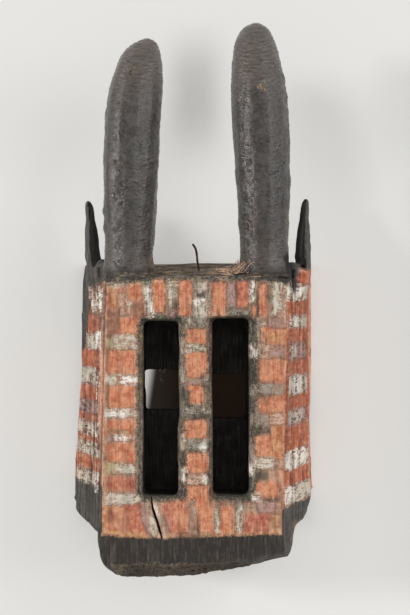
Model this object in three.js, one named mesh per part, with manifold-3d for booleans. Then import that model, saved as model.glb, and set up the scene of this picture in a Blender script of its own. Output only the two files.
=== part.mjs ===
// A Dogon walu mask: an antelope's face carved from one block of wood, and a bent iron wire in its brow.
// It lies face up on its back rim. +X is to the right as the mask is looked at, +Y runs towards the horn
// tips and +Z out of the face. The origin is under the middle of the whole, on the surface it lies on.
import * as THREE from "three";
import { mergeVertices } from "three/addons/utils/BufferGeometryUtils.js";
import Module from "manifold-3d";

// The face block. All sizes are in millimetres.
const DEPTH = 165; // back rim to front panel
const PANEL_LEFT = -88.5; // the front panel's long edges, at its middle
const PANEL_RIGHT = 91;
const RIM_LEFT = -119.5; // the side walls splay out to these lines at the back
const RIM_RIGHT = 122.5;
const EDGE_ROUND = 5; // worn round along the panel's long edges
const LEAN = 3; // the block leans this far sideways over half its length
const LEAN_MIDDLE = -90;
const LEAN_HALF_LENGTH = 120;

// The ledge over the brow, which rises towards the back.
const LEDGE_FRONT = 22;
const LEDGE_CREST = 35.5;
const LEDGE_CREST_HEIGHT = 90;
const LEDGE_BACK = 37;
const LEDGE_DROP_LEFT = 7; // the front lip sinks this much towards the left corner

// The chin, which slopes back below the panel and is cut shorter towards the right.
const PANEL_BOTTOM = -230;
const CHIN_BOTTOM = -276;
const CHIN_RISE_RIGHT = 20;
const CHIN_RISE_FROM = -50;
const CHIN_SLOPE_END = { y: -262, z: 149 };
const CHIN_EDGE = { y: -274, z: 134 };
const CHIN_UNDERSIDE = { y: -276, z: 112 };
const CHIN_BACK = -266;

// Seen from the front, each side wall ends in a worn corner above the narrower chin. A corner starts at
// one point and follows curves, each given as the point that pulls it and the point where it ends.
const CORNERS_LEFT = {
  start: [-125, -200],
  curves: [[-119.5, -221, -108, -224.5], [-96, -227.5, -93.8, -233], [-92.5, -243, -91.3, -253],
    [-89.5, -264.5, -72, -275.5]],
};
const CORNERS_RIGHT = {
  start: [88, -259],
  curves: [[96, -255.5, 98.4, -246], [100, -238, 101.5, -229.5], [102.5, -226, 106.5, -225.3],
    [115.5, -223.5, 120.5, -198]],
};

// The hollow for the wearer's head, carved from the back. Its sides run straight from the brow to the jaw.
const HOLLOW_DEPTH = 76;
const HOLLOW = { left: -103, right: 106, top: 14, browCorner: 42, jaw: -178 };
const HOLLOW_CHIN = [[-101, -226, -70, -240], [-51, -252, 0, -252], [60, -240, 78, -230], [102, -216]];
const HOLLOW_TAPER = 0.13; // share by which it narrows from rim to bottom
const HOLLOW_ROUND = 10; // rounding where the hollow's walls meet its bottom

// The two eye channels, and the square hole through the floor of each.
const CHANNEL_FLOOR = 90;
const CHANNEL_CORNER = 6;
const CHANNEL_TAPER = 0.03;
const EYE_HOLE_CORNER = 2;
const EYE_HOLE_TAPER = 0.04;
const CHANNELS = [
  {
    left: -49.4, right: -14.2, top: -21.5, bottom: -192.5,
    bevelLeft: 4.4, bevelRight: 7, bevelEnds: 2.2,
    hole: { left: -47.9, right: -15.9, top: -71, bottom: -110.8 },
  },
  {
    left: 18.3, right: 54.6, top: -19, bottom: -192.5,
    bevelLeft: 3, bevelRight: 5.6, bevelEnds: 2.2,
    hole: { left: 18.5, right: 51.6, top: -75.6, bottom: -119.3 },
  },
];
const BEVEL_DEPTH = 6;

// The horns. Each axis runs from inside the block to the tip, and each width is a radius at a place on Y.
const HORN_SIDES = 30;
const HORN_STEPS = 30;
const HORNS = [
  {
    axis: [[-66, 0, 137], [-63.4, 45, 134], [-62, 110, 132.5], [-60, 177, 127], [-55.7, 217.5, 118],
      [-51, 248, 108], [-46.5, 260, 104]],
    radii: [[0, 27], [23, 26.2], [40, 24], [58, 24.6], [97, 26.4], [147, 27.7], [190, 27.5], [217, 25.3],
      [238, 21.4], [248, 17.2], [255, 11.5], [259.5, 4]],
    tip: 260.5,
  },
  {
    axis: [[71, 0, 135], [69.8, 50, 134], [69, 110, 132.5], [66.3, 177, 127], [64, 217, 118],
      [61.4, 254, 106], [61.8, 276, 98]],
    radii: [[0, 26], [33, 24.7], [58, 24.5], [97, 26.1], [147, 27.7], [185, 28.2], [217, 26.5], [238, 24],
      [253.6, 21], [264, 17.3], [271.5, 12], [275.5, 5]],
    tip: 277,
  },
];

// The ears: upright blades on the side walls, three-cornered in section with the ridge forward.
const EAR_BASE = -4;
const EAR_SINK = 6; // below the ledge the blade runs this far into the side wall
const EAR_SINK_FROM = 18;
const EAR_STEPS = 14;
const EAR_RIDGE_AT = 0.55; // the ridge's place across the blade, from its outer edge
const EARS = [
  { side: 1, outerBase: -113.6, outerTip: -109.5, tip: 99.5, width: 25, sharpness: 0.52 },
  { side: -1, outerBase: 121.8, outerTip: 116.5, tip: 102, width: 17.8, sharpness: 0.33 },
];
const EAR_BACK = { base: 16, tip: 44 };
const EAR_RIDGE = { base: 104, tip: 54 };

// The web of wood left between each ear's foot and the wall before it: the corners of its two ends, x and z.
const WEB_LOW = -1;
const WEB_HIGH = 30;
const EAR_WEBS = [
  { low: [[-95, 118], [-96, 90], [-98.6, 101]], high: [[-95.3, 115], [-100, 74], [-102.8, 91]] },
  { low: [[101.5, 119], [107.8, 102], [105, 84]], high: [[100, 130], [113.2, 91], [110, 58]] },
];

// The narrow cleft between each ear and the horn beside it, open at the front and the top.
const CLEFT_HEIGHT = 60;
const CLEFT_BACK = 72;
const CLEFTS = [
  { x: -93.4, topWidth: 8, bottomWidth: 1.4, bottom: 5 },
  { x: 98, topWidth: 10, bottomWidth: 1.4, bottom: 11 },
];

// Small cuts: a tie hole through the left wall, and the shallow arches in the side rims.
const TIE_HOLE = { from: -130, to: -78, y: -32, z: 40, radius: 3 };
const ROD_SIDES = 12;
const RIM_ARCH_CUT = 50;
const RIM_ARCHES = [
  { x: -106, y: -105, halfLength: 60, rise: 12 },
  { x: 108, y: -120, halfLength: 45, rise: 4 },
];

// The iron wire, from its bent tip to its foot in the ledge.
const WIRE_RADIUS = 0.8;
const WIRE_GAP = 0.35;
const WIRE_SIDES = 8;
const WIRE_STEPS = 20;
const WIRE_PATH = [[-0.6, 53, 158.5], [1.6, 50, 156.5], [3.1, 45, 152.5], [3.8, 38, 146.5], [5, 30, 139.5]];
const WIRE_FOOT = [6.6, 19.5, 133];

const SPARE = 20; // how far a cutting shape runs past the wood it cuts

const { lerp, clamp } = THREE.MathUtils;
const wasm = await Module();
wasm.setup();

// A closed geometry as a solid, turned to face outwards if its making turned it inside out.
function solidOf(geometry) {
  const bare = geometry.clone();
  bare.deleteAttribute("normal");
  bare.deleteAttribute("uv");
  const merged = mergeVertices(bare, 1e-3);
  const at = merged.attributes.position;
  const corners = [0, 1, 2].map(() => new THREE.Vector3());
  const kept = [];
  let volume = 0;
  for (let i = 0; i < merged.index.count; i += 3) {
    const [a, b, c] = [0, 1, 2].map((k) => merged.index.getX(i + k));
    if (a === b || b === c || c === a) continue;
    [a, b, c].forEach((v, k) => corners[k].fromBufferAttribute(at, v));
    volume += corners[0].dot(corners[1].clone().cross(corners[2]));
    kept.push([a, b, c]);
  }
  const faces = volume < 0 ? kept.map(([a, b, c]) => [a, c, b]) : kept;
  const mesh = new wasm.Mesh({
    numProp: 3,
    vertProperties: new Float32Array(at.array),
    triVerts: new Uint32Array(faces.flat()),
  });
  return new wasm.Manifold(mesh);
}

// Moves every vertex of a geometry by the given rule.
function reshape(geometry, rule) {
  const at = geometry.attributes.position;
  const v = new THREE.Vector3();
  for (let i = 0; i < at.count; i++) {
    rule(v.fromBufferAttribute(at, i));
    at.setXYZ(i, v.x, v.y, v.z);
  }
  return geometry;
}

// A flat outline pushed straight up, with no bevel.
function extruded(outline, depth, steps, curveSegments) {
  return new THREE.ExtrudeGeometry(outline, { depth, steps, curveSegments, bevelEnabled: false });
}

// The block's section across its length: wide at the rim, narrow at the panel, extruded along the block.
function splayedBlock() {
  const splay = (EDGE_ROUND * (PANEL_LEFT - RIM_LEFT)) / DEPTH;
  const section = new THREE.Shape();
  section.moveTo(RIM_LEFT, 0);
  section.lineTo(PANEL_LEFT - splay, DEPTH - EDGE_ROUND);
  section.quadraticCurveTo(PANEL_LEFT, DEPTH, PANEL_LEFT + EDGE_ROUND, DEPTH);
  section.lineTo(PANEL_RIGHT - EDGE_ROUND, DEPTH);
  section.quadraticCurveTo(PANEL_RIGHT, DEPTH, PANEL_RIGHT + splay, DEPTH - EDGE_ROUND);
  section.lineTo(RIM_RIGHT, 0);
  section.closePath();
  const top = LEDGE_BACK + SPARE;
  const block = extruded(section, top - CHIN_BOTTOM + SPARE, 4, 4);
  block.rotateX(Math.PI / 2).translate(0, top, 0);
  return reshape(block, (v) => {
    const leaning = v.x < 0 ? 1 : v.z / DEPTH;
    v.x += (LEAN * leaning * (v.y - LEAN_MIDDLE)) / LEAN_HALF_LENGTH;
  });
}

// The block's outline seen from the side: sloping ledge, flat panel, chin that slopes back.
function sideProfile() {
  const profile = new THREE.Shape();
  profile.moveTo(LEDGE_BACK, 0);
  profile.lineTo(LEDGE_CREST, LEDGE_CREST_HEIGHT);
  profile.lineTo(LEDGE_FRONT + 1, DEPTH - 4);
  profile.quadraticCurveTo(LEDGE_FRONT, DEPTH, LEDGE_FRONT - 4, DEPTH);
  profile.lineTo(PANEL_BOTTOM + 3, DEPTH);
  profile.lineTo(PANEL_BOTTOM - 2, DEPTH - 1);
  profile.lineTo(CHIN_SLOPE_END.y, CHIN_SLOPE_END.z);
  profile.lineTo(CHIN_EDGE.y, CHIN_EDGE.z);
  profile.lineTo(CHIN_UNDERSIDE.y, CHIN_UNDERSIDE.z);
  profile.lineTo(CHIN_BACK, 0);
  profile.closePath();
  const wide = 2 * (RIM_RIGHT + SPARE);
  const slab = extruded(profile, wide, 16, 4);
  const [x, y, z] = [[1, 0, 0], [0, 1, 0], [0, 0, 1]].map((axis) => new THREE.Vector3(...axis));
  slab.applyMatrix4(new THREE.Matrix4().makeBasis(y, z, x));
  slab.translate(-wide / 2, 0, 0);
  return reshape(slab, (v) => {
    const rightwards = clamp((v.x - CHIN_RISE_FROM) / (PANEL_RIGHT - CHIN_RISE_FROM), 0, 1);
    const chinShare = 1 - (CHIN_RISE_RIGHT * rightwards ** 2) / (PANEL_BOTTOM - CHIN_BOTTOM);
    if (v.y < PANEL_BOTTOM) v.y = PANEL_BOTTOM + (v.y - PANEL_BOTTOM) * chinShare;
    if (v.y > 0) v.y -= LEDGE_DROP_LEFT * clamp(v.x / PANEL_LEFT, 0, 1) * (v.z / DEPTH);
  });
}

// The outline seen from the front: side walls that end in worn corners above the chin.
function frontOutline() {
  const side = RIM_RIGHT + SPARE;
  const outline = new THREE.Shape();
  outline.moveTo(-side, LEDGE_BACK + SPARE);
  outline.lineTo(-side, CORNERS_LEFT.start[1]);
  outline.lineTo(...CORNERS_LEFT.start);
  for (const curve of CORNERS_LEFT.curves) outline.quadraticCurveTo(...curve);
  outline.lineTo(CORNERS_LEFT.curves.at(-1)[2], CHIN_BOTTOM - SPARE);
  outline.lineTo(CORNERS_RIGHT.start[0], CHIN_BOTTOM - SPARE);
  outline.lineTo(...CORNERS_RIGHT.start);
  for (const curve of CORNERS_RIGHT.curves) outline.quadraticCurveTo(...curve);
  outline.lineTo(side, CORNERS_RIGHT.curves.at(-1)[3]);
  outline.lineTo(side, LEDGE_BACK + SPARE);
  outline.closePath();
  return extruded(outline, DEPTH + 2 * SPARE, 1, 6).translate(0, 0, -SPARE);
}

// A round horn: a turned profile whose slices are then shifted onto the horn's bent axis.
function horn({ axis, radii, tip }) {
  const widths = new THREE.SplineCurve(radii.map(([y, r]) => new THREE.Vector2(r, y)));
  const foot = new THREE.Vector2(0, radii[0][0]);
  const profile = [foot, ...widths.getPoints(HORN_STEPS), new THREE.Vector2(0, tip)];
  const line = new THREE.CatmullRomCurve3(axis.map((p) => new THREE.Vector3(...p)));
  const places = line.getPoints(200);
  return reshape(new THREE.LatheGeometry(profile, HORN_SIDES), (v) => {
    const next = places.findIndex((p) => p.y >= v.y);
    const to = next < 0 ? places.length - 1 : Math.max(next, 1);
    const share = clamp((v.y - places[to - 1].y) / (places[to].y - places[to - 1].y), 0, 1);
    v.x += lerp(places[to - 1].x, places[to].x, share);
    v.z += lerp(places[to - 1].z, places[to].z, share);
  });
}

// An ear: its section runs from the outer edge to the ridge and back along a hollow inner face.
function ear({ side, outerBase, outerTip, tip, width, sharpness }) {
  const section = new THREE.Shape();
  section.moveTo(0, 0);
  section.quadraticCurveTo(EAR_RIDGE_AT * 0.35, 0.6, EAR_RIDGE_AT, 1);
  section.quadraticCurveTo(EAR_RIDGE_AT + 0.02, 0.3, 1, 0.22);
  section.lineTo(1, 0.08);
  section.closePath();
  const blade = extruded(section, 1, EAR_STEPS, 5);
  return reshape(blade, (v) => {
    const up = 1 - (1 - v.z) ** 1.25; // closer steps towards the tip
    const left = Math.max(1 - up, 0.004);
    const across = width * left ** sharpness;
    const back = lerp(EAR_BACK.base, EAR_BACK.tip, up);
    const ridge = lerp(EAR_RIDGE.tip, EAR_RIDGE.base, (1 - up) ** 0.85);
    const y = lerp(EAR_BASE, tip, up);
    const sunk = EAR_SINK * clamp((EAR_SINK_FROM - y) / (EAR_SINK_FROM - EAR_BASE), 0, 1);
    const outer = lerp(outerBase, outerTip, up ** 3) + side * sunk;
    v.set(outer + side * v.x * across, y, back + v.y * (ridge - back));
  });
}

// The web between an ear's foot and the wall: a three-cornered bar that grows from its low end to its high end.
function earWeb({ low, high }) {
  const section = new THREE.Shape([[0, 0], [1, 0], [0, 1]].map(([x, y]) => new THREE.Vector2(x, y)));
  return reshape(extruded(section, 1, 1, 1), (v) => {
    const shares = [1 - v.x - v.y, v.x, v.y];
    const at = (axis) => shares.reduce((sum, share, i) => sum + share * lerp(low[i][axis], high[i][axis], v.z), 0);
    const [x, z] = [at(0), at(1)];
    v.set(x, lerp(WEB_LOW, WEB_HIGH, v.z), z);
  });
}

// The wedge of wood cut out between an ear and the horn beside it.
function cleft({ x, topWidth, bottomWidth, bottom }) {
  const wedge = new THREE.BoxGeometry(1, CLEFT_HEIGHT, DEPTH);
  wedge.translate(0, bottom + CLEFT_HEIGHT / 2, CLEFT_BACK + DEPTH / 2);
  return reshape(wedge, (v) => {
    v.x = x + v.x * lerp(bottomWidth, topWidth, (v.y - bottom) / CLEFT_HEIGHT);
  });
}

// The hollow behind the face, rounded at the brow and drawn in towards the chin.
function headHollow() {
  const { left, right, top, browCorner, jaw } = HOLLOW;
  const outline = new THREE.Shape();
  outline.moveTo(left + browCorner, top);
  outline.quadraticCurveTo(left, top, left, top - browCorner);
  outline.lineTo(left, jaw);
  for (const [pullX, pullY, x = right, y = jaw] of HOLLOW_CHIN) {
    outline.quadraticCurveTo(pullX, pullY, x, y);
  }
  outline.lineTo(right, top - browCorner);
  outline.quadraticCurveTo(right, top, right - browCorner, top);
  outline.closePath();
  const cavity = new THREE.ExtrudeGeometry(outline, {
    depth: HOLLOW_DEPTH + SPARE - 2 * HOLLOW_ROUND,
    steps: 4,
    curveSegments: 6,
    bevelThickness: HOLLOW_ROUND,
    bevelSize: HOLLOW_ROUND,
    bevelOffset: -HOLLOW_ROUND,
    bevelSegments: 4,
  });
  cavity.translate(0, 0, HOLLOW_ROUND - SPARE);
  const middle = (top + CHIN_BOTTOM) / 2;
  return reshape(cavity, (v) => {
    const narrowing = 1 - HOLLOW_TAPER * clamp(v.z / HOLLOW_DEPTH, 0, 1);
    v.x *= narrowing;
    v.y = middle + (v.y - middle) * lerp(1, narrowing, 0.5);
  });
}

// An upright rectangle with rounded corners.
function roundedRectangle(left, right, bottom, top, corner) {
  const shape = new THREE.Shape();
  shape.moveTo(left + corner, bottom);
  shape.lineTo(right - corner, bottom);
  shape.quadraticCurveTo(right, bottom, right, bottom + corner);
  shape.lineTo(right, top - corner);
  shape.quadraticCurveTo(right, top, right - corner, top);
  shape.lineTo(left + corner, top);
  shape.quadraticCurveTo(left, top, left, top - corner);
  shape.lineTo(left, bottom + corner);
  shape.quadraticCurveTo(left, bottom, left + corner, bottom);
  return shape;
}

// A channel cut down to its floor, and the bevel that opens it out at the panel.
function channel({ left, right, top, bottom, bevelLeft, bevelRight, bevelEnds }) {
  const outline = roundedRectangle(left, right, bottom, top, CHANNEL_CORNER);
  const middle = (left + right) / 2;
  const shaft = extruded(outline, DEPTH, 1, 4).translate(0, 0, CHANNEL_FLOOR);
  reshape(shaft, (v) => {
    if (v.z < CHANNEL_FLOOR + 1) v.x = middle + (v.x - middle) * (1 - CHANNEL_TAPER);
  });
  const mouth = extruded(outline, 2 * BEVEL_DEPTH, 1, 4).translate(0, 0, DEPTH - BEVEL_DEPTH);
  reshape(mouth, (v) => {
    const opened = (v.z - DEPTH + BEVEL_DEPTH) / BEVEL_DEPTH;
    v.x += opened * (v.x < middle ? -bevelLeft : bevelRight);
    v.y += opened * (v.y < (top + bottom) / 2 ? -bevelEnds : bevelEnds);
  });
  return solidOf(shaft).add(solidOf(mouth));
}

// The square hole through a channel's floor, a little wider at the back.
function eyeHole({ left, right, top, bottom }) {
  const outline = roundedRectangle(left, right, bottom, top, EYE_HOLE_CORNER);
  const long = CHANNEL_FLOOR - HOLLOW_DEPTH + 2 * SPARE;
  const cut = extruded(outline, long, 1, 2).translate(0, 0, HOLLOW_DEPTH - SPARE);
  const middle = (left + right) / 2;
  return reshape(cut, (v) => {
    if (v.z < CHANNEL_FLOOR) v.x = middle + (v.x - middle) * (1 + EYE_HOLE_TAPER);
  });
}

// A straight round rod from one point to another.
function rod(from, to, radius) {
  const line = new THREE.LineCurve3(new THREE.Vector3(...from), new THREE.Vector3(...to));
  const round = new THREE.CylinderGeometry(radius, radius, line.getLength(), ROD_SIDES);
  const up = new THREE.Vector3(0, 1, 0);
  round.applyQuaternion(new THREE.Quaternion().setFromUnitVectors(up, line.getTangent(0.5)));
  return round.translate(...line.getPoint(0.5).toArray());
}

// A shallow arch in a side rim, as the arc of a large wheel.
function rimArch({ x, y, halfLength, rise }) {
  const radius = (halfLength ** 2 + rise ** 2) / (2 * rise);
  const wheel = new THREE.CylinderGeometry(radius, radius, RIM_ARCH_CUT, 90).rotateZ(Math.PI / 2);
  return wheel.translate(x, y, rise - radius);
}

// The hole that holds the wire's foot, clear of it all round.
function wireHole() {
  const last = new THREE.Vector3(...WIRE_PATH.at(-1));
  const foot = new THREE.Vector3(...WIRE_FOOT);
  const along = last.clone().sub(foot).normalize();
  const from = foot.clone().addScaledVector(along, -WIRE_GAP);
  return rod(from.toArray(), last.toArray(), WIRE_RADIUS + WIRE_GAP);
}

// The carved block, joined and cut in the order that a carver would rough it out.
function maskSolid() {
  let wood = solidOf(splayedBlock());
  for (const one of [sideProfile(), frontOutline()]) wood = wood.intersect(solidOf(one));
  for (const one of [...EARS.map(ear), ...EAR_WEBS.map(earWeb)]) wood = wood.add(solidOf(one));
  for (const one of CLEFTS.map(cleft)) wood = wood.subtract(solidOf(one));
  for (const one of HORNS.map(horn)) wood = wood.add(solidOf(one));
  wood = wood.subtract(solidOf(headHollow()));
  for (const one of CHANNELS) wood = wood.subtract(channel(one)).subtract(solidOf(eyeHole(one.hole)));
  for (const one of RIM_ARCHES.map(rimArch)) wood = wood.subtract(solidOf(one));
  const { from, to, y, z, radius } = TIE_HOLE;
  wood = wood.subtract(solidOf(rod([from, y, z], [to, y, z], radius)));
  return wood.subtract(solidOf(wireHole()));
}

// The wire, round along its whole bent length.
function wireSolid() {
  const points = [...WIRE_PATH, WIRE_FOOT].map((p) => new THREE.Vector3(...p));
  const section = new THREE.Shape().absarc(0, 0, WIRE_RADIUS, 0, 2 * Math.PI);
  const extrudePath = new THREE.CatmullRomCurve3(points);
  const curveSegments = WIRE_SIDES / 2;
  return solidOf(new THREE.ExtrudeGeometry(section, { steps: WIRE_STEPS, extrudePath, curveSegments }));
}

// A named mesh from a solid.
function piece(name, solid, material) {
  const { vertProperties, triVerts, numProp } = solid.getMesh();
  const geometry = new THREE.BufferGeometry();
  geometry.setAttribute("position", new THREE.BufferAttribute(new Float32Array(vertProperties), numProp));
  geometry.setIndex(new THREE.BufferAttribute(new Uint32Array(triVerts), 1));
  geometry.computeVertexNormals();
  const mesh = new THREE.Mesh(geometry, material);
  mesh.name = name;
  return mesh;
}

const paintedWood = new THREE.MeshStandardMaterial({ color: 0xb9785c, roughness: 0.85, metalness: 0 });
const rustedIron = new THREE.MeshStandardMaterial({ color: 0x3a302a, roughness: 0.7, metalness: 0.6 });

const mask = new THREE.Group();
mask.add(piece("mask", maskSolid(), paintedWood));
mask.add(piece("wire", wireSolid(), rustedIron));

export default mask;
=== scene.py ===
import math
import random

import bpy
import numpy as np
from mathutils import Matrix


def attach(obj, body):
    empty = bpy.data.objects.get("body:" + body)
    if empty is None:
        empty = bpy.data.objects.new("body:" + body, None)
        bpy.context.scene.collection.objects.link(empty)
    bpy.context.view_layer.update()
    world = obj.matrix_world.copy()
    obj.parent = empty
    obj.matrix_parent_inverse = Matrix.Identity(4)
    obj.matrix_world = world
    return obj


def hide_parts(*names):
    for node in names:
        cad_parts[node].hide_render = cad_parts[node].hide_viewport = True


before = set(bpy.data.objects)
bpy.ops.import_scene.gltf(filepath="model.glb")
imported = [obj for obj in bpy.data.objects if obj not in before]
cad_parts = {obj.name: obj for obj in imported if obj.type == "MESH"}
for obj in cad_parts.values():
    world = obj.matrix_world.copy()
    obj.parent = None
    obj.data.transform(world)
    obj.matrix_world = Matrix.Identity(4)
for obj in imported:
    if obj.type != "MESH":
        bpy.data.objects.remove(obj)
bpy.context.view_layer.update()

# The carved block. The face, the horns and the ears of an antelope, cut from one block of hardwood with an
# adze and hollowed from behind. Its outline comes from the measured solid, and its skin is rebuilt with
# points close enough together to take the marks of tools, weather and use.
MM = 0.001
SKIN = 1.2  # millimetres between neighbouring points of the skin
SKIN_FACES = 192000  # faces that are left once the relief is in it
SAME_PLACE = 1e-6  # metres: points closer than this are one point
FACE_FROM = 118  # the height from which the wood belongs to the front face
# Where a horn's foot, an ear's root and the wall run together, the wood is left in a round lump: its middle
# and its half width, half length and half height.
ROOTS = [(-91, 25, 104, 9, 15, 27), (99, 25, 88, 9, 13, 24), (95, 22, 112, 7, 10, 16)]


def finish_with(piece, kind, **settings):
    """Puts a modifier on a piece and applies it."""
    modifier = piece.modifiers.new(kind.title(), kind)
    for name, value in settings.items():
        setattr(modifier, name, value)
    bpy.context.view_layer.objects.active = piece
    bpy.ops.object.modifier_apply(modifier=modifier.name)


def places(piece):
    """Where a piece's points are, in millimetres."""
    flat = np.empty(len(piece.data.vertices) * 3)
    piece.data.vertices.foreach_get("co", flat)
    return flat.reshape(-1, 3) / MM


def facings(piece):
    """The way that the surface faces at each point of a piece."""
    flat = np.empty(len(piece.data.vertices) * 3)
    piece.data.vertices.foreach_get("normal", flat)
    return flat.reshape(-1, 3)


def move_to(piece, points):
    """Puts a piece's points at new places, given in millimetres."""
    piece.data.vertices.foreach_set("co", (points * MM).ravel())
    piece.data.update()


def ramp(value, start, end):
    """Rises smoothly from 0 at start to 1 at end."""
    share = np.clip((value - start) / (end - start), 0, 1)
    return share * share * (3 - 2 * share)


def put_in(name, data):
    """Adds an object that holds a mesh, a curve, a light or a camera."""
    shown = bpy.data.objects.new(name, data)
    bpy.context.collection.objects.link(shown)
    return shown


def pick(piece):
    """Selects one piece alone and makes it the active one."""
    bpy.ops.object.select_all(action="DESELECT")
    piece.select_set(True)
    bpy.context.view_layer.objects.active = piece


mask = put_in("carved_mask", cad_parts["mask"].data.copy())
pick(mask)
bpy.ops.object.mode_set(mode="EDIT")
bpy.ops.mesh.select_all(action="SELECT")
bpy.ops.mesh.remove_doubles(threshold=SAME_PLACE)
for root_x, root_y, root_z, across, along, out in ROOTS:
    bpy.ops.mesh.primitive_uv_sphere_add(
        segments=24, ring_count=16, radius=1, location=(root_x * MM, root_y * MM, root_z * MM),
        scale=(across * MM, along * MM, out * MM))
bpy.ops.object.mode_set(mode="OBJECT")
finish_with(mask, "REMESH", mode="VOXEL", voxel_size=SKIN * MM, use_smooth_shade=True)


def distance_to_line(points, line):
    """How far points lie from a bent line, and how far along it, from 0 to 1, they lie."""
    nearest = np.full(len(points), 1e9)
    share = np.zeros(len(points))
    for number, (start, end) in enumerate(zip(line[:-1], line[1:])):
        start, end = np.array(start, float), np.array(end, float)
        reach = np.clip(((points - start) @ (end - start)) / np.sum((end - start) ** 2), 0, 1)
        gap = np.linalg.norm(points - start - reach[:, None] * (end - start), axis=1)
        share = np.where(gap < nearest, (number + reach) / (len(line) - 1), share)
        nearest = np.minimum(nearest, gap)
    return nearest, share


# The splits that opened along the grain as the block dried: one runs down from the left eye channel, and the
# rest run along the walls. Each is a line of places, its half width and its depth.
FACE_SPLIT = [(-41, -193), (-39.6, -204), (-34.7, -219), (-30.5, -233.5)]
NEAR_SPLIT = 2.6  # millimetres beside the face's split that get a finer skin
SPLIT_FROM = 130  # the height from which the face's split is cut
WALL_SPLITS = [
    ([(-114.5, -142, 25), (-115, -178, 24), (-112, -214, 30)], 1.3, 3.5),
    ([(-97.5, -136, 116), (-98, -176, 118), (-97, -206, 124)], 1.1, 2.5),
    ([(-104, -150, 80), (-103, -184, 86)], 0.8, 1.2),
    ([(117.5, -88, 24), (117, -130, 27), (117.5, -176, 24)], 0.8, 1.4),
    ([(99, -22, 122), (98, -66, 126)], 0.8, 1.4),
]
points = places(mask)
face_gap, _ = distance_to_line(points[:, :2], FACE_SPLIT)
bpy.ops.object.mode_set(mode="EDIT")
bpy.ops.mesh.select_mode(type="VERT")
bpy.ops.mesh.select_all(action="DESELECT")
bpy.ops.object.mode_set(mode="OBJECT")
mask.data.vertices.foreach_set("select", (face_gap < NEAR_SPLIT) & (points[:, 2] > SPLIT_FROM))
bpy.ops.object.mode_set(mode="EDIT")
bpy.ops.mesh.subdivide(number_cuts=1)
bpy.ops.mesh.quads_convert_to_tris()
bpy.ops.object.mode_set(mode="OBJECT")


def softened(piece, rounds, spots=None):
    """Where a piece's points would be if it were rubbed smooth, all over or in the chosen spots only."""
    spare = put_in("spare", piece.data.copy())
    if spots is not None:
        spare.vertex_groups.new(name="spots").add(np.flatnonzero(spots).tolist(), 1.0, "REPLACE")
    finish_with(spare, "SMOOTH", factor=0.5, iterations=rounds,
                vertex_group="spots" if spots is not None else "")
    smooth = places(spare)
    bpy.data.meshes.remove(spare.data)
    return smooth


def waver(points, size, seed=0):
    """A smooth random waver from -1 to 1. Size is its wave's length in millimetres, one number or three."""
    cells = points / np.array(size, float)
    corner = np.floor(cells).astype(np.int64)
    part = cells - corner
    part = part * part * (3 - 2 * part)
    first = corner @ np.array([73856093, 19349663, 83492791]) + seed * 40503 + 977
    total = np.zeros(len(points))
    for right, up, out in np.ndindex(2, 2, 2):
        code = first + (right * 73856093 + up * 19349663 + out * 83492791)
        code = (code ^ (code >> 13)) * 1274126177 & 0x7FFFFFFF
        code = (code ^ (code >> 15)) * 668265263 & 0x7FFFFFFF
        weight = part[:, 0] if right else 1 - part[:, 0]
        weight = weight * (part[:, 1] if up else 1 - part[:, 1])
        weight *= part[:, 2] if out else 1 - part[:, 2]
        total += weight * ((code >> 7) / (0x7FFFFFFF >> 8) - 1)
    return total


# The first wear, which takes the sharpness off every edge, and more of it in the crook of each horn's foot.
FIRST_WEAR = 4  # rounds of rubbing
CROOK_WEAR = 40
ARRIS_WIDTH = 16  # rounds of rubbing that tell an outer edge from a flat
move_to(mask, softened(mask, FIRST_WEAR))
x, y, z = places(mask).T
horn_feet = (y > 16) & (y < 48) & (z > 84) & (np.abs(x) > 28)
ear_feet = (y > 14) & (y < 64) & (np.abs(x) > 82) & (z < 128)
soft_feet = softened(mask, CROOK_WEAR, horn_feet | ear_feet)
share = np.maximum(ramp(y, 16, 24) * ramp(y, 48, 40) * ramp(z, 84, 92),
                   ramp(y, 16, 26) * ramp(y, 62, 50) * ramp(np.abs(x), 84, 90) * ramp(z, 126, 116))[:, None]
move_to(mask, places(mask) * (1 - share) + soft_feet * share)
points = places(mask)
x, y, z = points.T
points[:, 0] -= 0.5 * ramp(y, 34, 42) * ramp(y, 92, 62) * ramp(x, -94, -102)
points[:, 0] += 1.7 * ramp(y, 16, 34) * ramp(y, 44, 36) * ramp(x, -108, -114)
points[:, 0] -= 3.2 * ramp(y, -60, -150) * ramp(x, -100, -114) * ramp(y, -240, -222)
points[:, 0] += 2.2 * ramp(y, -180, -205) * ramp(x, 100, 112) * ramp(y, -244, -226)
# The right ear leans in a little more and is a little shorter than the solid.
turned_in = ramp(-facings(mask)[:, 0], -0.1, 0.5) * (x > 88) * (z < 125)
points[:, 0] -= 4.0 * turned_in * ramp(y, 34, 44) * ramp(y, 98, 50)
points[:, 1] -= 1.4 * ramp(y, 84, 94) * (x > 88) * (z < 125)
move_to(mask, points)
facing = facings(mask)
outer_edge = np.clip(np.sum((points - softened(mask, ARRIS_WIDTH)) * facing, axis=1) / 0.9, -1, 1)

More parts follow.
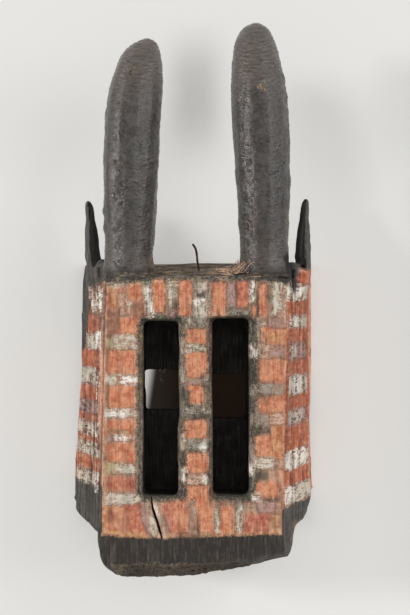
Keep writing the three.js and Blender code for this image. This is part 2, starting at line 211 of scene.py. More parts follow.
# The horns. Two thick round posts left rough from the adze, so that their sides are long soft facets. Their
# crust of soot and oil has dried in lumps along the facets' edges, and in fine ripples that ring the tips.
HORN_FACETS = 11
FACET_DEPTH = 0.45  # share of a true flat that the worn facets still show
RING_PITCH = 4.4
HORNS = [
    ([(-66, 0, 137), (-63.4, 45, 134), (-62, 110, 132.5), (-60, 177, 127), (-55.7, 217.5, 118),
      (-46.5, 260, 104)], 0.0, -33),
    ([(71, 0, 135), (69.8, 50, 134), (69, 110, 132.5), (66.3, 177, 127), (64, 217, 118), (61.8, 277, 98)],
     -0.24, -25),
]
x, y, z = points.T
on_horns = np.zeros(len(points))
crest = np.zeros(len(points))
lift = np.zeros(len(points))
crust_rings = 3.4 * waver(points, 17, 15) + 1.6 * waver(points, 6, 16)
for number, (axis, first_edge, lumpy_edge) in enumerate(HORNS):
    axis = np.array(axis)
    off_x = x - np.interp(y, axis[:, 1], axis[:, 0])
    off_z = z - np.interp(y, axis[:, 1], axis[:, 2])
    radius = np.hypot(off_x, off_z)
    angle = np.degrees(np.arctan2(off_x, off_z))
    on_horn = ramp(y, 24, 34) * ramp(radius, 33, 30.5)
    on_horns = np.maximum(on_horns, on_horn)
    turn = angle / 360 * HORN_FACETS + first_edge
    turn += 0.30 * waver(points, (1e9, 70, 1e9), 11 + number) + 0.10 * waver(points, 14, 13)
    from_middle = (turn % 1 - 0.5) / HORN_FACETS * 2 * math.pi
    flat = np.cos(math.pi / HORN_FACETS) / np.cos(from_middle) - 1
    cut_depth = FACET_DEPTH * (1 + 0.7 * waver(points, (22, 38, 22), 14))
    lift += on_horn * ramp(y, 266, 225) * cut_depth * radius * (flat + 0.02)
    rings = (y - 0.014 * off_x**2 + crust_rings) / RING_PITCH
    ring_strength = np.clip(0.14 + 0.30 * waver(points, 24, 17) + 0.34 * ramp(y, 180, 230), 0, 0.7)
    lift += on_horn * ring_strength * (np.abs(np.sin(math.pi * rings)) - 0.64)
    lumps = ramp(np.abs(angle - lumpy_edge - 6 * waver(points, (1e9, 40, 1e9), 20)), 15, 3)
    lumps *= ramp(y, 250, 225)
    lumps *= 0.8 + 0.7 * ramp(y, 165, 140) * ramp(y, 40, 85)
    crest = np.maximum(crest, on_horn * lumps)
    lift += on_horn * lumps * (0.95 * waver(points, 4.6, 21) + 0.7 * waver(points, 9, 22) + 0.25)
lift += on_horns * (
    0.60 * waver(points, 15, 18) + 0.34 * waver(points, 5, 19) + 0.16 * waver(points, 2.9, 24))

# Knobs and nicks on the horns: a place, its radius and how far it stands out or in.
HORN_MARKS = [
    (-88.5, 86.6, 136, 6, 1.1), (-88, 69, 134, 6, 1.2), (-76, 134, 152, 2.6, -1.3),
    (-69, 112, 157, 3.4, -1.1), (-69.5, 93, 156, 3.0, -1.3), (96.5, 115, 132, 8, 1.0),
    (94, 80, 132, 6, -0.9), (93.5, 54, 132, 6, -1.0), (89.5, 219, 118, 6, 1.0), (91, 200, 122, 5, 0.6),
    (46, 194, 140, 1.6, -2.6), (89, 133, 148, 1.7, -2.6), (83, 196, 140, 1.6, -1.6),
    (47, 247, 118, 1.4, -1.2), (68, 207, 143, 2.6, -1.0), (58, 85, 156, 2.0, -1.0),
    (61, 85.5, 157, 2.0, -1.0), (64, 86, 157, 2.0, -0.8), (-62, 222, 138, 5.0, -0.8),
]
# Scratches across the horns: the ends of each, seen from above.
HORN_SCRATCHES = [
    [(-56, 137), (-36, 142)], [(-46, 123), (-36, 128)], [(-48, 134), (-36, 138)], [(46, 116), (58, 98)],
    [(54, 85.5), (66, 86)], [(60, 213), (82, 216)],
]
for mark_x, mark_y, mark_z, size, height in HORN_MARKS:
    gap = np.hypot(np.hypot(x - mark_x, y - mark_y), 0.6 * (z - mark_z))
    lift += height * ramp(gap, size, 0.2 * size)
scratched = np.zeros(len(points))
for line in HORN_SCRATCHES:
    gap, share = distance_to_line(points[:, :2] + 0.6 * waver(points, 5, 23)[:, None], line)
    length = ramp(share, 0, 0.2) * ramp(share, 1, 0.8)
    scratched = np.maximum(scratched, ramp(gap, 1.1, 0.2) * (z > 120) * length)
lift -= 0.35 * scratched * on_horns
points += facing * lift[:, None]

# The ears, the walls and the face. Flat faces cut with the adze and left to the weather, which opened the
# soft grain into long clefts that run from brow to jaw. The arrises are rubbed and chipped.
x, y, z = points.T
on_wall = ramp(np.abs(facing[:, 0]), 0.55, 0.85) * ramp(y, -252, -236)
on_wall = on_wall * (0.4 + 0.6 * ramp(y, 32, 14))
on_front = ramp(facing[:, 2], 0.5, 0.85) * ramp(z, 118, 134) * ramp(y, 26, 16)
inside = ramp(z, 78, 70) * (x > -111 + 0.18 * z) * (x < 114 - 0.18 * z) * (y < 25) * (y > -258)
inside = inside * ((y > -222) | (np.abs(x) < 77)) * ((y > -240) | (np.abs(x) < 62))
lift = 0.50 * waver(points, (34, 46, 34), 31) + 0.18 * waver(points, (9, 14, 9), 32)
broad = waver(points, (19, 190, 19), 33) + 0.30 * waver(points, (11, 48, 11), 37)
narrow = waver(points, (9, 110, 9), 34) + 0.30 * waver(points, (7, 26, 7), 38)
hairs = waver(points, (2.4, 45, 2.4), 35)
clefts = ramp(np.abs(broad), 0.34, 0.04)
small_clefts = ramp(np.abs(narrow), 0.30, 0.03)
weathered = np.where(x < 0, 0.55 + 0.55 * ramp(y, -120, -175), 0.42) + 0.3 * waver(points, (20, 50, 20), 39)
wall_relief = 0.9 * broad + 0.45 * narrow + 0.15 * hairs - 2.4 * clefts - 1.3 * small_clefts
lift += on_wall * (1 - inside) * weathered * wall_relief
front_grain = waver(points, (5.5, 90, 5.5), 29) + 0.25 * waver(points, (5, 22, 5), 28)
front_clefts = ramp(np.abs(front_grain), 0.20, 0.0)
lift += on_front * (
    0.10 * front_grain + 0.09 * hairs - 0.22 * front_clefts + 0.12 * waver(points, (4, 5, 4), 30))
grooves = on_wall * (1 - inside) * weathered * np.maximum(clefts, 0.8 * small_clefts)
grooves = np.maximum(grooves, 0.35 * on_front * front_clefts)
gouges = np.abs(np.sin(math.pi * (x + 5 * waver(points, (25, 40, 25), 40)) / 15))
gouges *= 0.6 + 0.4 * np.abs(np.sin(math.pi * (y + 9 * waver(points, (14, 40, 14), 36)) / 31))
lift += inside * (1.5 * (0.55 - gouges) + 0.3 * waver(points, (7, 16, 7), 42))
rubbed = ramp(outer_edge, 0.15, 0.7) * (1 - inside) * (y < 32)
lift -= rubbed * (0.25 + 1.1 * np.clip(waver(points, (7, 12, 7), 51), 0, 1) + 0.5 * waver(points, 3.6, 52))
on_ears = ramp(y, 36, 46) * (1 - on_horns)
lift += on_ears * (
    1.6 * ramp(y, 80, 94) + 0.35 * waver(points, (40, 9, 40), 57) + 0.4 * waver(points, (8, 5, 8), 58))
lift *= 1 - on_horns

# The chin block and the brow. The chin is dished by the adze, and its lower edge has broken away in short
# steps; the brow's end grain is cut in rough shelves from horn to horn.
CHIN_CHIPS = 5.0  # how deep the deepest of them goes
CHIN_EDGE = [(-62, -277, 124), (-20, -276, 124), (40, -269, 126), (84, -257, 128)]
on_chin = ramp(y, -230, -238)
lift += on_chin * (0.7 * waver(points, (26, 20, 26), 41) + 0.22 * waver(points, (8, 6, 8), 43))
lift += on_chin * (0.22 * front_grain + 0.14 * hairs) * ramp(facing[:, 2], 0.3, 0.7)
on_brow = ramp(y, 16, 23) * ramp(y, 41, 37) * ramp(z, 84, 92) * (1 - on_horns) * ramp(np.abs(x - 2), 92, 86)
shelf_run = z + 4 * waver(points, (40, 12, 12), 44)
shelves = np.abs(np.sin(math.pi * shelf_run / 19)) - 0.6
brow_hairs = waver(points, (46, 3.2, 3.2), 45)
brow_clefts = ramp(np.abs(waver(points, (60, 6, 6), 46)), 0.2, 0.0)
lift += on_brow * (
    1.3 * shelves + 0.45 * brow_hairs + 0.3 * waver(points, (12, 3, 3), 47) - 0.9 * brow_clefts)
grooves = np.maximum(grooves, on_brow * np.maximum(brow_clefts, ramp(shelves, -0.2, -0.55)))
points += facing * lift[:, None]
chips = ramp(waver(points, (17, 12, 12), 48) + 0.7 * waver(points, (6, 5, 5), 49), -0.1, 0.4)
edge_gap, _ = distance_to_line(points, CHIN_EDGE)
broken = chips * ramp(edge_gap, 14, 3)
points += broken[:, None] * (0, CHIN_CHIPS, -0.4 * CHIN_CHIPS)
on_break = on_chin * ramp(y + 3 * waver(points, 9, 50), -257, -264)
on_break *= ramp(z + 9 * waver(points, (13, 9, 9), 55), 96, 108)
on_break *= ramp(np.abs(x - 8) + 10 * waver(points, (9, 9, 14), 56), 92, 74)
torn = 0.9 * waver(points, (6, 4, 4), 53) + 0.5 * waver(points, (3, 2.6, 2.6), 54)
points += facing * (on_break * torn)[:, None]

# The splits, cut in now that the skin is finer along them, and the blind pits beside the brow, each with its
# place, radius and depth.
SPLIT_DEPTH = 9
WALL_PITS = [
    (-94.5, -12, 135, 2.4, 4.0), (-97, 8, 120, 2.0, 2.4), (-97, 26, 112, 2.2, 3.0),
    (100.5, 27, 128, 2.5, 2.0),
]
face_gap, face_share = distance_to_line(points[:, :2], FACE_SPLIT)
half_width = 0.6 + 0.65 * ramp(face_share, 0.1, 0.45) * ramp(face_share, 1.02, 0.8)
depth = SPLIT_DEPTH * np.clip(1 - face_gap / half_width, 0, 1) ** 0.6
depth *= (points[:, 2] > SPLIT_FROM) * (facing[:, 2] > 0.2)
points[:, 2] -= depth
split = ramp(depth, 0.5, 3)
for line, half_width, depth in WALL_SPLITS:
    gap, share = distance_to_line(points, line)
    sink = depth * ramp(share, 0, 0.15) * ramp(share, 1, 0.85) * np.clip(1 - gap / half_width, 0, 1)
    points -= facing * sink[:, None]
    split = np.maximum(split, ramp(sink, 0.2, 1.2))
for pit_x, pit_y, pit_z, size, depth in WALL_PITS:
    sink = depth * ramp(np.linalg.norm(points - (pit_x, pit_y, pit_z), axis=1), size, 0.3 * size)
    points -= facing * sink[:, None]
    split = np.maximum(split, ramp(sink, 0.3, 1.5))
points[:, 2] = np.maximum(points[:, 2], 0)
move_to(mask, points)
# The ears are thin and have been handled, so they are worn rounder.
EAR_WEAR = 14
ears = (y > 28) & (np.abs(x) > 82) & (z < 122) & (on_horns < 0.05)
share = (0.85 * ears * ramp(y, 28, 40))[:, None]
points = points * (1 - share) + softened(mask, EAR_WEAR, ears) * share
points[:, 1] += 0.8 * ears * ramp(y, 84, 94)
move_to(mask, points)


def keep(piece, name, values):
    """Stores a number or a colour at each of a piece's points for its finish to read."""
    kind, field = ("FLOAT_COLOR", "color") if values.ndim == 2 else ("FLOAT", "value")
    layer = piece.data.attributes.new(name, kind, "POINT")
    layer.data.foreach_set(field, np.ascontiguousarray(values, dtype=np.float32).ravel())


def kept(piece, name):
    """Reads a number that was stored at each of a piece's points."""
    values = np.empty(len(piece.data.vertices), dtype=np.float32)
    piece.data.attributes[name].data.foreach_get("value", values)
    return np.clip(np.nan_to_num(values.astype(float)), -1, 1)


# The skin is thinned to what the relief needs. Where paint will lie its points stay closer together.
for name, values in {
    "groove": grooves, "split": split, "horn": on_horns, "scratch": scratched, "crest": crest,
    "hollow": inside, "brow": on_brow, "broken": on_break,
}.items():
    keep(mask, name, values)
x, y, z = points.T
under_paint = (y < 30) & (y > -240) & (z > FACE_FROM)
under_paint |= (np.abs(facing[:, 0]) > 0.6) & (y < 45) & (inside < 0.5)
free = mask.vertex_groups.new(name="free")
free.add(np.flatnonzero(~under_paint).tolist(), 1.0, "REPLACE")
free.add(np.flatnonzero(under_paint).tolist(), 0.5, "REPLACE")
faces = sum(len(face.vertices) - 2 for face in mask.data.polygons)
finish_with(mask, "DECIMATE", ratio=SKIN_FACES / faces, vertex_group="free", vertex_group_factor=1.5e-6,
            use_collapse_triangulate=True)
mask.vertex_groups.clear()
points = places(mask)
facing = facings(mask)
pairs = np.empty(len(mask.data.edges) * 2, dtype=np.int64)
mask.data.edges.foreach_get("vertices", pairs)
ends, others = np.concatenate([pairs.reshape(-1, 2), pairs.reshape(-1, 2)[:, ::-1]]).T
touching = np.maximum(np.bincount(ends, minlength=len(points)), 1)


def spread(values, rounds):
    """Evens values out between neighbouring points."""
    values = np.array(values, float)
    columns = values.reshape(len(values), -1)
    for _ in range(rounds):
        means = [np.bincount(ends, weights=c[others], minlength=len(c)) / touching for c in columns.T]
        columns = (columns + np.array(means).T) / 2
    return columns.reshape(values.shape)


# The paint. Red earth in blocks over the face and all over the walls, with ash and soot between the blocks,
# soot black on the horns, the ears, the chin and around the eyes, and bands of chalk dabbed on with a
# chewed stick. A stroke is its left, right, lower and upper edge in millimetres, how well it covers, its
# colour, and its lean in degrees if it has one.
EARTH = "#d8946f"
THICK = "#c67a60"
THIN = "#d39a6c"
PALE = "#dba588"
BROWN = "#a2674d"
RED_BLOCKS = [
    (-88.2, -55.3, -50.3, 12.4, 0.62, PALE), (-89.6, -55.3, -197.5, -50.3, 0.5, PALE),
    (-89.6, 94.8, -232.8, -197.5, 0.38, PALE), (65.3, 95.8, -197.5, -1.3, 0.42, PALE),
    (-88.2, -80.8, -18.9, 11.5, 0.85, EARTH), (-88.2, -80.8, -36.6, -18.9, 0.7, BROWN),
    (-81.8, -73.9, -9.1, 10.5, 0.85, THIN), (-82.8, -73.9, -38.6, -11.1, 0.8, BROWN),
    (-73, -54.3, -36.6, -18, 0.97, EARTH), (-63.1, -49.4, -4.2, 15.4, 0.92, EARTH),
    (-59.2, -45.5, -18, -3.3, 0.75, BROWN), (-39.6, -26.9, -14, 18.3, 0.97, EARTH),
    (-14.1, -1.4, -17, 18.3, 0.97, EARTH), (18.3, 32, -17, 16.4, 0.97, EARTH),
    (41.8, 54.6, -9.1, 17.3, 0.97, THICK), (57.5, 62.4, -18, -3.3, 0.92, EARTH),
    (63.4, 71.2, -18, 15.4, 0.97, EARTH), (71.2, 75.2, 2.6, 11.5, 0.8, PALE),
    (85, 91.8, -18, 10.5, 0.65, PALE), (-87.7, -55.3, -73.9, -50.3, 0.95, EARTH),
    (-88.6, -57.3, -107.2, -83.7, 0.97, EARTH), (-88.6, -57.3, -131.8, -117, 0.97, EARTH),
    (-88.6, -57.3, -161.2, -139.6, 0.97, EARTH), (-89.6, -56.3, -189.6, -172, 0.92, THICK),
    (-88.6, -79.8, -231.8, -197.5, 0.9, THIN), (-81.8, -64.1, -231.8, -200.4, 0.85, EARTH),
    (-65.1, -48.4, -232.8, -199.4, 0.97, THICK, 8), (-7.2, 13.4, -44.5, -28.8, 0.95, EARTH),
    (-7.2, 13.4, -76.8, -51.3, 0.92, EARTH), (-5.3, 10.4, -103.3, -83.7, 0.99, EARTH),
    (-7.2, 13.4, -136.7, -117, 0.97, EARTH), (-6.3, 15.3, -170, -149.4, 0.97, EARTH),
    (1.6, 19.2, -228.9, -181.8, 0.97, EARTH), (-6.3, 3.6, -195.5, -181.8, 0.95, EARTH),
    (-29.8, -19, -230.8, -197.5, 0.85, THICK), (-20, -3.3, -229.8, -196.5, 0.9, EARTH),
    (26.1, 39.8, -229.8, -202.4, 0.97, EARTH), (49.7, 87.9, -229.8, -208.3, 0.92, THICK),
    (66.3, 94.8, -44.5, -27.8, 0.95, EARTH), (69.3, 89.9, -43.5, -34.6, 0.9, THIN),
    (63.4, 90.9, -81.7, -58.2, 0.95, EARTH), (63.4, 94.8, -111.2, -94.5, 0.92, EARTH),
    (60.4, 76.1, -155.3, -132.7, 0.92, EARTH), (76.1, 88.9, -156.3, -122.9, 0.92, THIN),
    (88.9, 95.8, -197.5, -119, 0.8, PALE), (61.4, 83, -195.5, -177.9, 0.92, EARTH),
    (75.2, 83, -173.9, -164.1, 0.6, PALE), (83, 94.8, -197.5, -164.1, 0.88, PALE),
    (75.2, 94.8, -228.9, -197.5, 0.7, THIN), (-89.6, -32.7, -233.8, -226.9, 0.95, THIN),
    (-37.6, 40.8, -235.7, -228.4, 0.95, THIN), (35.9, 94.8, -233.8, -226.9, 0.95, THIN),
]
CHALK = "#efe6da"
ASH = "#cfc5b3"
GREY = "#a0968a"
PINK = "#cfab97"
LILAC = "#b39089"
OLIVE = "#b3a27b"
FACE_STROKES = [
    (-80.8, -72, 12.4, 15.9, 0.9, CHALK, -8), (-88.2, -82.8, -197.5, -35.6, 0.42, OLIVE),
    (-92.6, -86.7, -13.1, 0.7, 0.9, CHALK), (-73.9, -64.1, -11.1, 6.6, 0.55, PINK),
    (-73, -61.2, -17, -9.1, 0.6, PINK), (-65.1, -59.2, -9.1, -4.2, 0.75, CHALK),
    (-48.9, -44.5, -2.3, 14.4, 0.85, ASH, 6), (-45.5, -40.1, -18.9, 12.4, 0.97, CHALK, 7),
    (-24.9, -17, -4.2, 18.3, 0.85, ASH), (-21, -14.1, 10.5, 17.3, 0.55, ASH),
    (-23.9, -17, -18.9, -5.2, 0.7, LILAC), (-0.4, 15.3, -28.8, 17.3, 0.65, GREY),
    (5.5, 12.4, 6.6, 15.4, 0.9, ASH), (-0.4, 13.4, -5.2, 0.2, 0.9, CHALK),
    (3.6, 14.3, -18, -6.2, 0.75, ASH), (-9.2, -1.4, -27.8, -19.9, 0.75, ASH, 30),
    (14.3, 18.3, -18.9, 16.4, 0.5, PINK), (33, 41.3, -10.1, 17.3, 0.85, LILAC),
    (32, 55.5, -18.9, -10.1, 0.5, GREY), (55, 60.4, -3.3, 17.3, 0.92, CHALK),
    (76.1, 85, -17, 15.4, 0.88, ASH), (87.9, 90.4, -17, 10.5, 0.7, CHALK),
    (90.9, 96.7, -0.3, 12.4, 0.95, CHALK), (-87.7, -75.9, -48.4, -36.6, 0.85, OLIVE),
    (-77.9, -55.3, -49.4, -34.6, 0.75, ASH), (-86.7, -70, -83.7, -74.4, 0.95, ASH),
    (-73, -53.3, -83.7, -74.9, 0.92, CHALK), (-87.2, -55.3, -116.1, -107.2, 0.97, CHALK),
    (-64.1, -54.3, -115.1, -106.2, 0.7, ASH), (-87.7, -56.3, -132.7, -127.8, 0.55, OLIVE),
    (-84.7, -63.1, -138.6, -131.8, 0.97, CHALK), (-64.1, -55.3, -138.6, -130.8, 0.72, PINK),
    (-87.7, -78.8, -139.6, -131.8, 0.45, GREY), (-87.7, -72, -171, -159.2, 0.92, OLIVE),
    (-74.9, -55.3, -171, -160.2, 0.9, ASH), (-86.7, -50.4, -200.4, -189.1, 0.97, ASH),
    (-52.4, -41.6, -205.3, -195.5, 0.55, GREY, 15), (-7.2, 13.4, -51.3, -44.5, 0.85, ASH),
    (-7.2, 12.4, -83.7, -76.8, 0.35, PINK), (8.5, 16.8, -84.7, -72.9, 0.8, GREY),
    (-8.2, 10.4, -106.7, -103.3, 0.9, CHALK), (-9.2, 16.3, -115.1, -106.2, 0.6, GREY),
    (-7.2, 16.3, -148.4, -136.7, 0.75, GREY), (5.5, 13.4, -147.4, -141.6, 0.85, CHALK, -50),
    (-7.2, 17.3, -181.8, -170, 0.75, PINK), (9.4, 14.8, -181.8, -173.9, 0.85, CHALK),
    (-14.1, -8.2, -56.2, -37.6, 0.75, ASH), (-14.1, -8.2, -83.7, -68, 0.75, ASH),
    (-13.1, -7.7, -115.1, -99.4, 0.65, GREY), (-14.1, -7.7, -148.4, -131.8, 0.88, ASH),
    (-13.1, -7.2, -178.8, -164.1, 0.95, CHALK), (14.8, 17.3, -197.5, -28.8, 0.4, GREY),
    (14.3, 17.8, -52.3, -40.5, 0.7, ASH), (14.3, 17.8, -114.1, -104.3, 0.7, ASH),
    (54.6, 62.4, -57.2, -45.4, 0.9, CHALK), (54.6, 60, -95.5, -83.7, 0.7, ASH),
    (59.5, 61.9, -103.3, -98.4, 0.7, ASH), (52.6, 55.5, -160.2, -138.6, 0.6, ASH),
    (51.6, 59, -172.9, -160.2, 0.97, CHALK), (62.4, 73.2, -26.8, -19.9, 0.88, ASH),
    (71.2, 94.8, -28.8, -18.9, 0.65, LILAC), (62.4, 68.3, -58.2, -41.5, 0.6, ASH),
    (67.3, 91.8, -58.2, -45.4, 0.72, PINK), (75.2, 91.8, -57.2, -46.4, 0.65, LILAC),
    (63.4, 77.1, -93.5, -81.7, 0.85, GREY), (77.1, 89.9, -94.5, -82.7, 0.55, GREY),
    (59.5, 74.2, -125.9, -111.2, 0.7, GREY), (73.2, 90.9, -122.9, -111.2, 0.75, PINK),
    (58.5, 81, -166.1, -155.3, 0.85, ASH), (80.1, 94.8, -166.1, -156.3, 0.55, PINK),
    (57.5, 68.3, -199.4, -191.6, 0.97, CHALK, -50), (61.4, 85.9, -209.2, -196.5, 0.72, LILAC),
    (-49.4, -40.6, -230.8, -200.4, 0.7, LILAC, 17), (-42.1, -34.7, -231.8, -210.2, 0.9, ASH, 17),
    (-38.1, -32.7, -217.1, -198.5, 0.8, CHALK, 14), (-32.2, -24.9, -232.8, -211.2, 0.72, GREY, 17),
    (-2.3, 3.1, -221, -196.5, 0.95, ASH, 18), (-4.3, 1.6, -217.1, -200.4, 0.5, GREY, 20),
    (-4.3, 4.5, -232.8, -216.1, 0.6, LILAC), (20.2, 25.6, -227.9, -204.3, 0.92, ASH),
    (40.8, 48.7, -209.2, -195.5, 0.7, GREY), (41.3, 47.2, -228.9, -205.3, 0.85, ASH),
    (47.2, 49.7, -217.1, -202.4, 0.55, CHALK), (85.9, 89.9, -226.9, -197.5, 0.5, PINK),
    (-24.9, 19.2, -232.8, -227.9, 0.4, PINK), (-51.8, -49.4, -99.4, -26.8, 0.72, OLIVE),
    (-51.6, -49.2, -189.6, -99.4, 0.78, GREY), (-15.1, -12.7, -192.6, -22.9, 0.6, GREY),
    (15.9, 18.3, -109.2, -22.9, 0.5, PINK),
]
# On the walls the bands run from the back rim to the front edge, so a height takes the place of left and
# right.
LEFT_WALL_BANDS = [
    (56, 150, 0, 12, 0.62, PINK), (74, 110, -15, -2, 0.62, CHALK), (98, 150, -12, 6, 0.75, CHALK),
    (30, 150, -50, -35, 0.85, ASH), (104, 150, -50, -33, 0.97, CHALK), (15, 150, -86, -70, 0.8, ASH),
    (116, 128, -99, -91, 0.85, CHALK), (5, 150, -114, -103, 0.75, LILAC), (20, 150, -137, -124, 0.8, ASH),
    (110, 150, -137, -122, 0.97, CHALK), (5, 150, -156, -144, 0.78, ASH), (10, 150, -186, -172, 0.85, ASH),
    (122, 150, -190, -172, 0.7, CHALK),
]
RIGHT_WALL_BANDS = [
    (28, 165, -1, 14, 0.85, ASH), (96, 165, -1, 12, 0.85, CHALK), (28, 150, -28, -17, 0.9, ASH),
    (86, 150, -28, -17, 0.75, CHALK), (36, 150, -60, -44, 0.72, LILAC), (106, 150, -57, -47, 0.6, ASH),
    (30, 150, -95, -77, 0.85, ASH), (66, 150, -94, -78, 0.8, CHALK), (30, 150, -125, -111, 0.8, LILAC),
    (60, 150, -123, -113, 0.8, ASH), (22, 160, -168, -151, 0.95, CHALK), (16, 160, -203, -186, 0.92, ASH),
    (96, 160, -200, -187, 0.8, CHALK),
]
# Soot rubbed in around the eyes before the chalk, and soot smeared over the chalk since.
SOOT_STROKES = [
    (-55.8, -48.4, -197.5, -19.9, 0.62), (-52.4, -9.2, -24.8, -17, 0.95), (17.3, 61.4, -21.9, -15, 0.9),
    (-54.3, -31.8, -200.4, -191.6, 0.95), (-34.7, -4.3, -197.5, -190.6, 0.9),
    (-42.5, -36.7, -209.2, -193.5, 0.9, 17), (17.3, 57.5, -202.4, -191.6, 0.95),
    (-15.1, -7.2, -37.6, -18.9, 0.75), (-15.1, -7.2, -68, -57.2, 0.5), (-15.1, -7.2, -99.4, -84.7, 0.75),
    (-15.1, -6.3, -131.8, -116.1, 0.8), (-15.1, -6.3, -164.1, -149.4, 0.9),
    (-15.1, -5.3, -195.5, -178.8, 0.85), (13.4, 20.2, -197.5, -17, 0.6), (52.6, 62.4, -45.4, -18.9, 0.8),
    (52.6, 63.4, -83.7, -57.2, 0.95), (52.6, 62.4, -111.2, -95.5, 0.8), (52.6, 62.4, -138.6, -123.9, 0.85),
    (51.6, 62.4, -197.5, -172.9, 0.9), (58.5, 77.1, -132.7, -123.9, 0.8), (-9.2, 15.3, -116.1, -84.7, 0.6),
    (-4.3, 15.3, -28.8, -18.9, 0.5), (2.6, 13.4, -0.3, 6.6, 0.7), (-17, -13.1, -18.9, -0.3, 0.7),
    (63.4, 75.2, -92.5, -83.7, 0.9), (55.5, 67.3, -131.8, -122.9, 0.95), (-4.3, 13.4, -116.1, -108.2, 0.8),
    (-6.3, 14.3, -148.4, -141.6, 0.75), (-9.2, -5.3, -177.9, -153.3, 0.8), (9.4, 15.3, -52.3, -45.4, 0.7),
    (67.3, 81, -27.8, -18, 0.6), (63.4, 67.3, -57.2, -45.4, 0.8), (61.4, 67.3, -177.9, -164.1, 0.8),
    (31, 55.5, -18.9, -13.1, 0.7),
]
SMEARS = [
    (-73.9, -72, -30.7, -4.2, 0.7), (-18, -15.1, -18, -0.3, 0.7), (2.6, 13.4, 0.7, 5.6, 0.75),
    (16.3, 25.1, 16.4, 18.5, 0.8), (22.2, 24.6, -18.9, -14, 0.8), (40.8, 42.8, 4.6, 14.4, 0.8),
    (71.2, 74.2, -5.2, 10.5, 0.8), (61.7, 63.4, -18.9, 10.5, 0.9), (-11.2, -2.8, -96.4, -88.6, 0.85),
    (-9.2, -0.4, -99.9, -97.4, 0.75), (-9.2, 17.3, -117, -114.6, 0.85), (-7.2, 17.3, -150.4, -147.9, 0.75),
    (7.5, 9.4, -84.7, -73.9, 0.6), (8.5, 17.3, -86.1, -83.7, 0.8), (67.3, 69.8, -39.5, -31.7, 0.7),
    (70.3, 72.7, -43, -40, 0.8), (55.5, 75.2, -129.1, -125.9, 1), (62.4, 76.1, -132.7, -128.8, 0.7),
    (60.4, 73.2, -177.9, -167.1, 0.8), (67.3, 84, -196.7, -194.3, 0.85), (83, 85, -202.4, -162.2, 0.7, 9),
    (-83.7, -78.8, -216.1, -200.4, 0.6), (62.4, 65.3, -81.7, -58.2, 0.5), (61.4, 73.2, -99.4, -95, 0.5),
    (62.4, 78.1, -82.2, -80.3, 0.7), (62.4, 78.1, -95.5, -93.5, 0.7), (-91.6, -85.7, -31.7, -25.8, 0.3),
    (-87.7, -83.7, -119, -83.7, 0.35), (-86.7, -82.8, -71.9, -50.3, 0.45),
    (-88.6, -83.7, -157.3, -153.3, 0.7), (-78.8, -73.9, -46.4, -38.6, 0.3),
    (15.3, 20.2, -200.4, -181.8, 0.8), (-42.5, -35.7, -237.7, -231.8, 0.9), (-3.3, 6.5, -232.8, -222, 0.7),
]


def linear(code):
    """A colour's red, green and blue as light, from its hex code as seen on a screen."""
    shares = [int(code[i:i + 2], 16) / 255 for i in (1, 3, 5)]
    return [s / 12.92 if s <= 0.04045 else ((s + 0.055) / 1.055) ** 2.4 for s in shares]


OUTSIDE = -20.0  # a reach that lies well outside a coat
REACH_KEPT = 12  # the furthest reach that the finish needs


def inside_stroke(across, up, left, right, low, high, lean=0):
    """How far inside a stroke's edge a place lies, in millimetres, and less than nothing outside it."""
    angle = math.radians(lean)
    off_x, off_y = across - (left + right) / 2, up - (low + high) / 2
    over = np.abs(off_x * math.cos(angle) + off_y * math.sin(angle))
    along = np.abs(off_y * math.cos(angle) - off_x * math.sin(angle))
    corner = min(1.5, (right - left) / 2, (high - low) / 2)
    over, along = over - (right - left) / 2 + corner, along - (high - low) / 2 + corner
    outside = np.hypot(np.maximum(over, 0), np.maximum(along, 0))
    return corner - outside - np.minimum(np.maximum(over, along), 0)


def lay(strokes, across, up, there, reach, tone):
    """Lays strokes one after another: how far inside them places are, their colour, cover and way across."""
    for left, right, low, high, cover, code, *lean in strokes:
        new_reach = np.where(there, inside_stroke(across, up, left, right, low, high, *lean), OUTSIDE)
        soft = 1.2 + 6 * (1 - cover)
        share = there * np.maximum(ramp(new_reach, -soft, 0.5 * soft), ramp(new_reach - reach, -1.5, 0.5))
        tone += share[:, None] * (np.array([*linear(code), cover, right - left > high - low]) - tone)
        reach[:] = np.maximum(reach, new_reach)


x, y, z = points.T
paint_x = x + 0.9 * waver(points, 9, 61) + 0.5 * waver(points, 3.5, 62)
paint_y = y + 0.9 * waver(points, 9, 63) + 0.5 * waver(points, 3.5, 64)
paint_z = z + 3 * waver(points, 12, 65)
steady = spread(facing, 4)
inside = kept(mask, "hollow")
on_break = kept(mask, "broken")
on_left_wall = (steady[:, 0] < -0.6) & (x < -80)
on_right_wall = (steady[:, 0] > 0.6) & (x > 80)
ear_roots = (y > 8) & (y < 34) & (np.abs(x) > 90) & (z > 20) & (z < 126)
ear_roots &= (steady[:, 2] > -0.2) & (steady[:, 1] < 0.7)
on_left_wall |= ear_roots & (x < 0) & (steady[:, 0] < 0.1)
on_right_wall |= ear_roots & (x > 0) & (steady[:, 0] > -0.1)
on_wall = on_left_wall | on_right_wall
on_face = ~on_wall & (z > FACE_FROM)

